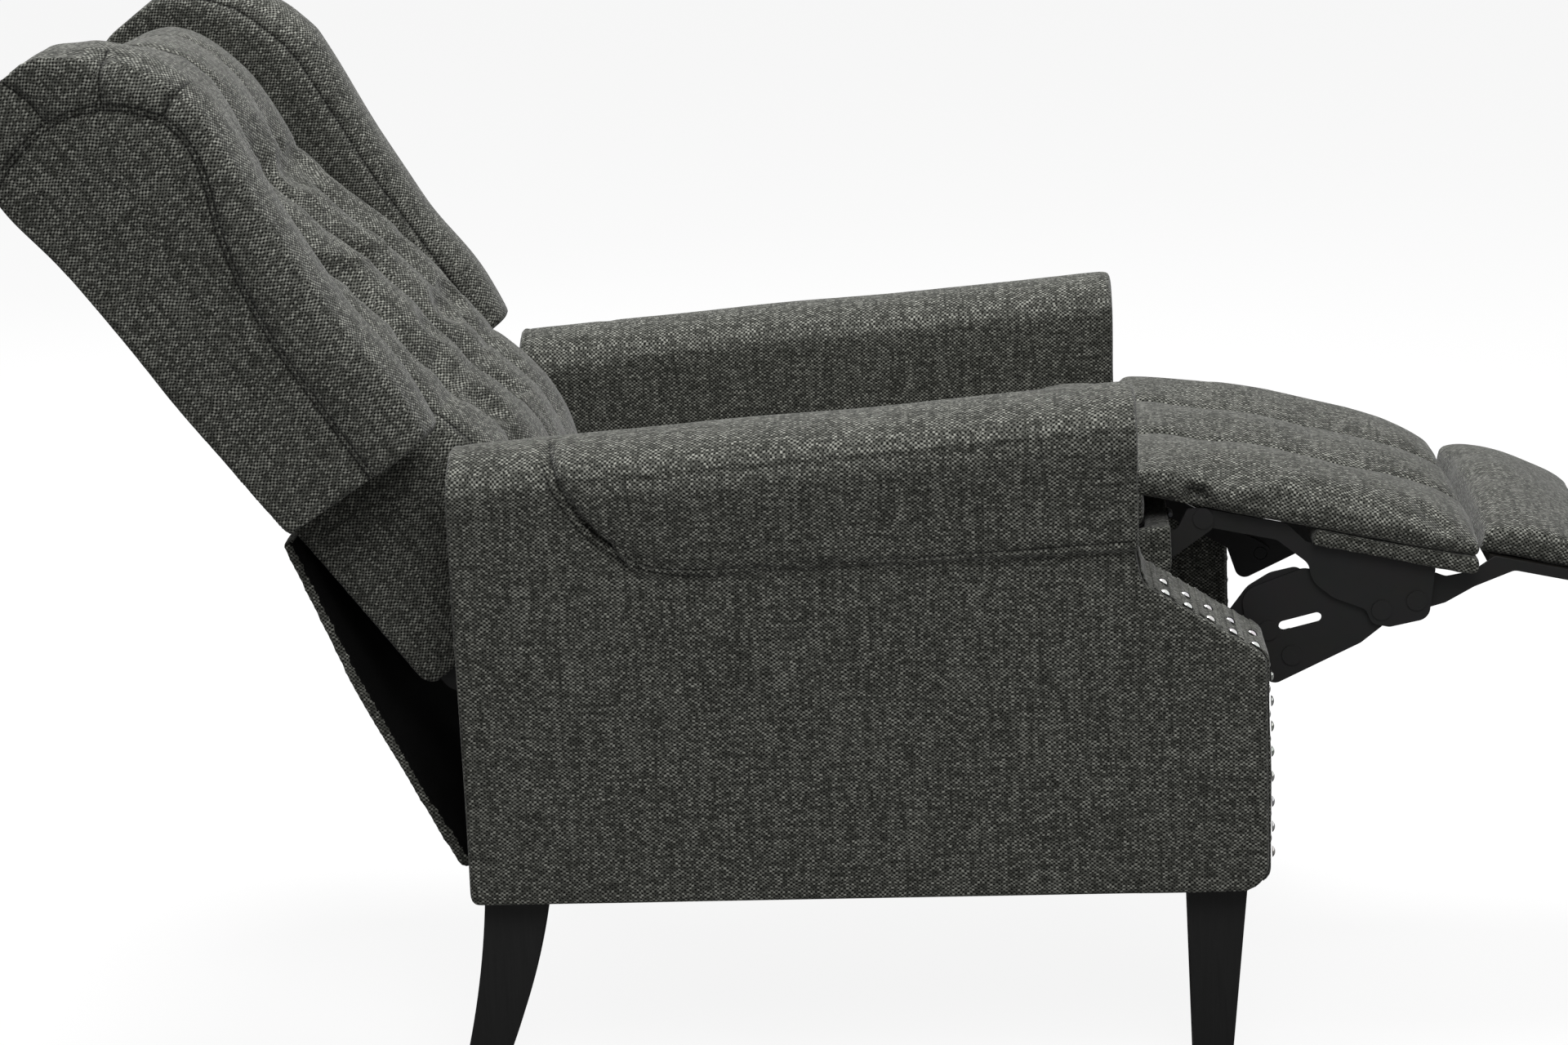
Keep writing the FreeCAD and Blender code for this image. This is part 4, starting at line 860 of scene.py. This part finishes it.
def sharpenTufts(piece):
    # the sewn lines and tufts again, narrow and sharp
    _, y, s = local(piece, back)
    ahead = ramp(normals(piece) @ axes(back)[0], -0.1, 0.2)
    tuck = np.zeros(len(y))
    for column in cushion["columns"]:
        tuck -= 1.5 * dip(y - column, 5) * ramp(s, 100, 150) * ramp(s, 680, 650)
        for row in tuftRows(column):
            tuck -= 4 * dip(np.hypot(y - column, (s - row) * 0.6), 7)
    push(piece, ahead * tuck * mm)
    lines = [([(column, end) for end in cushion["seamEnds"]], ahead) for column in cushion["columns"]]
    lines += [([(hand * cushion["welt"], end) for end in cushion["weltEnds"]], ahead) for hand in (-1, 1)]
    sew(piece, y, s, lines)


def makeBackCushion():
    piece = copyOf("back_cushion", "tuftedBack")
    depth, height = cushion["depth"], cushion["height"]
    drawn = [backBlock(depth, [hand * y for y in cushion["sides"]], height) for hand in (-1, 1)]
    joinInto(piece, drawn + [backBlock(depth, *cushion["foot"])])
    evenMesh(piece, cushion["voxel"], 3)
    held = drawTufts(piece)
    roundHeel(piece)
    puff(piece, held, cushion["pressure"], cushion["spare"], cushion["cap"])
    subdivide(piece)
    sharpenTufts(piece)
    dress(piece, "back", ["back_cushion"], back["lean"])


# plain upholstered pieces, each from its own solid

panels = [
    {"nodes": ["outside_back_cover", "back_top_rail", "back_left_post", "back_right_post"], "name": "outsideBack",
     "body": "back", "lean": back["lean"]},
    {"nodes": ["rear_cross_rail"], "name": "rearBorder", "body": "base", "lean": 0.0},
    {"nodes": ["footrest_board"], "name": "footrestBoard", "body": "footrest", "lean": rest["lean"]},
    {"nodes": ["seat_front_rail", "seat_left_rail", "seat_right_rail"], "name": "seatBorder", "body": "seat",
     "lean": 0.0},
]
panelCloth = {
    "voxel": 4.0 * mm,
    "fill": 0.9,
    "slack": 0.5 * mm,
    "wave": 0.14,
    "seatFront": (0.25, 0.31),  # x over which the border under the leg pad is drawn in, all in metres
    "seatTop": (0.46, 0.44),
    "drawnBack": 0.014,
    "drawnDown": 0.01,
}


def drawBorder(piece):
    # the seat's front edge, out of the leg pad's way
    where = points(piece)
    ahead = ramp(where[:, 0], *panelCloth["seatFront"])
    where[:, 0] -= ahead * panelCloth["drawnBack"]
    where[:, 2] -= ahead * ramp(where[:, 2], *panelCloth["seatTop"]) * panelCloth["drawnDown"]
    putPoints(piece, where)


def makePanels():
    for panel in panels:
        piece = copyOf(panel["nodes"][0], panel["name"])
        joinInto(piece, [copyOf(node, node + "Copy") for node in panel["nodes"][1:]])
        evenMesh(piece, panelCloth["voxel"], 3)
        push(piece, panelCloth["slack"] * ripple(points(piece), panelCloth["wave"], len(panel["name"])))
        if panel["body"] == "back":
            roundHeel(piece)
        if panel["body"] == "seat":
            drawBorder(piece)
        dress(piece, panel["body"], panel["nodes"], panel["lean"])


flap = {"voxel": 4.0 * mm, "fill": 0.9, "slack": 0.8 * mm, "wave": 0.12}


def makeRearFlap():
    piece = softCopy("rear_flap", "rearFlap", flap["voxel"], 2)
    push(piece, flap["slack"] * ripple(points(piece), flap["wave"], 6))
    dress(piece, "rear_flap", ["rear_flap"], 0.0)
    # its inner face is lined
    piece.data.materials.append(lining)
    for face in piece.data.polygons:
        face.material_index = int(face.normal.x > 0.5)


# seat cushion

seat = {
    "voxel": 6.0 * mm,
    "fill": 0.7,
    "seams": [-77, 77],
    "seamEnds": (-150, 330),
    "front": 276,  # x where the leg pad takes over
    "frontShare": 0.3,  # how much of what lies ahead of it stays
    "low": 12,  # how far the sat-in top lies below the arms
    "tongue": [((-300, -222), (356, 378)), ((-236, -160), (378, 424))],  # x, z of the cloth under the back
    "tongueHalf": 204,
    "pressure": 2.0,
    "spare": 0.01,
    "cap": 4 * mm,
}


def makeSeatCushion():
    piece = copyOf("seat_cushion", "seatCushion")
    blocks = []
    for (rear, ahead), (low, high) in seat["tongue"]:
        middle = Vector(((rear + ahead) / 2, 0, (low + high) / 2)) * mm
        sizes = ((ahead - rear) * mm, 2 * seat["tongueHalf"] * mm, (high - low) * mm)
        blocks.append(addBlock(middle, sizes))
    joinInto(piece, blocks)
    evenMesh(piece, seat["voxel"], 4)
    where = points(piece)
    x, y = where[:, 0] / mm, where[:, 1] / mm
    front = seat["front"]
    where[:, 0] = np.where(x > front, front + (x - front) * seat["frontShare"], x) * mm
    top = ramp(normals(piece)[:, 2], 0.2, 0.7)
    where[:, 2] -= seat["low"] * top * ramp(x, 235, 140) * ramp(x, -200, -174) * mm
    putPoints(piece, where)
    held = ramp(normals(piece)[:, 2], 0.1, -0.3)
    for line in seat["seams"]:
        held = np.maximum(held, top * dip(np.abs(y - line), 5) * 0.6)
    puff(piece, held, seat["pressure"], seat["spare"], seat["cap"])
    subdivide(piece)
    where = points(piece)
    x, y = where[:, 0] / mm, where[:, 1] / mm
    top = ramp(normals(piece)[:, 2], 0.0, 0.3)
    sew(piece, x, y, [([(end, line) for end in seat["seamEnds"]], top) for line in seat["seams"]])
    dress(piece, "seat", ["seat_cushion"], 0.0)


# sides and arms

side = {
    "voxel": 3.5 * mm,
    "fill": 0.9,
    "seamX": 262,  # the faint upright seam near the front
    "seamTop": 452,
    "rollSeam": [(-232, 640), (-231, 612), (-224, 570), (-206, 532), (-178, 502), (-142, 485), (-100, 478),
                 (38, 482), (276, 498)],  # x, z of the arm's lower seam
    "crest": [(-310, 580), (278, 623)],  # x, z
    "crestY": 295,
    "half": 350,  # half the width of the sides under the arms
    "plainRound": 64.2,  # radius of the solid's plain arm
    "plainTop": 28,  # its depth down to where it is widest
    "crown": 48,  # how far below the crest the roll is widest
    "wide": [(-231, 353), (-141, 366), (40, 370)],  # half the width there, at x
    "tuckedIn": 26,
    "grow": (0.8, 1.6),  # least and most that the arm's width changes
    "secondRow": -7,
}
strip = {"voxel": 3.0 * mm, "slack": 0.4 * mm, "wave": 0.1}


def oldRoll(depth, bulge, seamDepth):
    # half the width of the solid's plain arm at a depth below its crest
    radius, top = side["plainRound"], side["plainTop"]
    crown = side["crestY"] + np.sqrt(np.clip(radius ** 2 - (radius - np.clip(depth, 0, top)) ** 2, 0, None))
    t = np.clip((depth - top) / (seamDepth - top), 0, 1)
    return np.where(depth < top, crown, side["half"] + bulge * (1 - (2 * t - 1) ** 2))


def newRoll(depth, bulge, seamDepth, seam):
    # the stuffed roll is widest close below its crest and turns in down to its seam
    half, crown = side["half"], side["crown"]
    t = np.clip(depth / crown, 0, 1)
    over = side["crestY"] + (half + bulge - side["crestY"]) * np.sqrt(1 - (1 - t) ** 2)
    under = bulge * np.clip((depth - crown) / (seamDepth - crown), 0, 1) ** 1.3
    turn = np.clip(seam / side["tuckedIn"], 0, 1)
    width = over - under
    return np.where(width > half, half + (width - half) * np.sqrt(1 - (1 - turn) ** 2), width)


def shapeArm(piece, rows):
    # widens the plain arm above its seam into the roll, then softens its edges
    where = points(piece)
    x, y, z = (where[:, i] / mm for i in range(3))
    crestY = side["crestY"]
    onRoll = (z > profile(rows, x)) & (x > side["rollSeam"][0][0]) & (y < -crestY - 1)
    depth = profile(side["crest"], x) - z
    bulge = profile(side["wide"], x) - side["half"]
    seamDepth = depth + z - profile(side["rollSeam"][-3:], x)
    old = oldRoll(depth, bulge, seamDepth)
    new = newRoll(depth, bulge, seamDepth, pathDistance(x, z, rows))
    ratio = (new - crestY) / np.maximum(old - crestY, 8)
    wider = -(crestY + (-y - crestY) * np.clip(ratio, *side["grow"]))
    where[:, 1] = np.where(onRoll, wider, y) * mm
    putPoints(piece, where)
    front = ramp(x, 240, 268) * ramp(z, 585, 605)
    addGroup(piece, "soft", ramp(z, 505, 560) * np.maximum(ramp(y, -300, -280), front))
    smooth(piece, 16, vertex_group="soft")
    piece.vertex_groups.clear()
    smooth(piece, 2)


def sewSide(piece, rows):
    # slack cloth on the outer face, drawn in along its seams
    where = points(piece)
    x, _, z = (where[:, i] / mm for i in range(3))
    facing = normals(piece)
    outer = ramp(-facing[:, 1], 0.5, 0.8)
    outward = ramp(-facing[:, 1], 0.0, 0.4)
    upright = np.abs(x - side["seamX"]) + np.where(z > side["seamTop"], 1e3, 0)
    second = [p for p in offsetPath(rows, side["secondRow"]) if p[0] < -90 and p[1] < 590]
    stitched = pathDistance(x, z, second)
    amount = outer * (0.8 * ripple(where, 0.3, 5) - 1.2 * dip(upright, 6) - 1.2 * dip(stitched, 4))
    amount -= outward * 4.5 * dip(pathDistance(x, z, rows), 5)
    amount += 0.7 * ripple(where, 0.16, 8) * ramp(z, 500, 560)
    amount += ramp(-facing[:, 0], 0.4, 0.9) * 4 * ramp(z, 200, 520)
    push(piece, amount * mm)
    sew(piece, x, z, [(rows, outward), (second, outer)])


def makeSides():
    piece = copyOf("right_side_cover", "rightSide")
    joinInto(piece, [copyOf("right_arm_pad", "rightArm")])
    evenMesh(piece, side["voxel"], 4)
    rows = smoothPath(side["rollSeam"])
    shapeArm(piece, rows)
    sewSide(piece, rows)
    facingStrip = softCopy("right_front_facing", "rightFacing", strip["voxel"], 3)
    push(facingStrip, strip["slack"] * ripple(points(facingStrip), strip["wave"], 9))
    for made, nodeEnds in ((piece, ("side_cover", "arm_pad")), (facingStrip, ("front_facing",))):
        twin = mirrored(made, made.name.replace("right", "left"))
        dress(made, "base", ["right_" + nodeEnd for nodeEnd in nodeEnds], 0.0)
        dress(twin, "base", ["left_" + nodeEnd for nodeEnd in nodeEnds], 0.0)


# footrest

legPad = {
    "voxel": 5.0 * mm,
    "fill": 0.6,
    "seams": [-74, 74],
    "seamEnds": (-80, 240),
    "rear": 10,  # u behind which the pad is drawn out over the seat
    "back": 2.3,  # how much longer that part becomes
    "rise": 7,
    "pinch": -8,  # u of the tuck where the pad bends
    "pressure": 3.0,
    "spare": 0.015,
    "cap": 8 * mm,
}


def drawOverSeat(piece):
    # the pad's rear end, drawn back and up over the seat
    first, second = axes(rest)
    where = points(piece)
    u, _, w = local(piece, rest)
    behind = np.clip(legPad["rear"] - u, 0, None)
    up = ramp(w, 14, 34)
    where += first * (behind * (1 - legPad["back"]))[:, None] * mm
    where += second * (ramp(behind, 0, 34) * up * legPad["rise"])[:, None] * mm
    putPoints(piece, where)
    return (values / mm for values in toLocal(rest, where))


def tuckPad(piece, u, y, w):
    # its seams and the tuck where it bends, drawn in; gives where the cover is held
    facing = normals(piece)
    normal = axes(rest)[1]
    top = ramp(facing @ normal, 0.2, 0.7)
    held = ramp(facing @ normal, -0.3, -0.6)
    amount = np.zeros(len(u))
    for seam in legPad["seams"]:
        away = np.abs(y - seam)
        amount -= top * mm * 3.0 * dip(away, 14)
        held = np.maximum(held, top * dip(away, 4) * 0.7)
    sides = ramp(np.abs(facing[:, 1]), 0.2, 0.7)
    tuck = np.hypot(u - legPad["pinch"], (w - 16) * 0.4)
    amount -= sides * mm * (8 * dip(tuck, 7) + 6 * dip(tuck, 18))
    held = np.maximum(held, sides * dip(tuck, 6))
    push(piece, amount)
    return held


def sharpenPad(piece):
    # the seams and the tuck again, narrow and sharp
    u, y, w = local(piece, rest)
    top = ramp(normals(piece) @ axes(rest)[1], 0.0, 0.3)
    sides = ramp(np.abs(normals(piece)[:, 1]), 0.2, 0.6)
    cut = np.zeros(len(u))
    for seam in legPad["seams"]:
        cut -= top * (3.5 * dip(y - seam, 9) + 2.5 * dip(y - seam, 4))
    crease = pathDistance(u, w, [(legPad["pinch"] - 3, 22), (legPad["pinch"] + 3, -6)])
    cut -= sides * (9 * dip(crease, 5) + 4 * dip(crease, 14))
    push(piece, cut * mm)
    sew(piece, u, y, [([(end, seam) for end in legPad["seamEnds"]], top) for seam in legPad["seams"]])


def makeLegPad():
    piece = softCopy("leg_pad", "legPad", legPad["voxel"], 4)
    held = tuckPad(piece, *drawOverSeat(piece))
    puff(piece, held, legPad["pressure"], legPad["spare"], legPad["cap"])
    subdivide(piece)
    sharpenPad(piece)
    dress(piece, None, ["leg_pad"], rest["lean"])
    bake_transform(piece)


extension = {"voxel": 3.5 * mm, "fill": 0.6, "slack": 0.8, "wave": 0.08}


def makeExtensionPad():
    piece = softCopy("extension_pad", "extensionPad", extension["voxel"], 5)
    push(piece, mm * extension["slack"] * ripple(points(piece), extension["wave"], 31))
    dress(piece, "extension", ["extension_pad"], rest["lean"])


def makeWebbingStraps():
    piece = copyOf("back_webbing", "backWebbing")
    setMaterial(piece, finishes["webbing"])
    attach(piece, "back")
    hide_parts("back_webbing")


makeWings()
makeBackCushion()
makePanels()
makeRearFlap()
makeSeatCushion()
makeSides()
makeLegPad()
makeExtensionPad()
makeWebbingStraps()
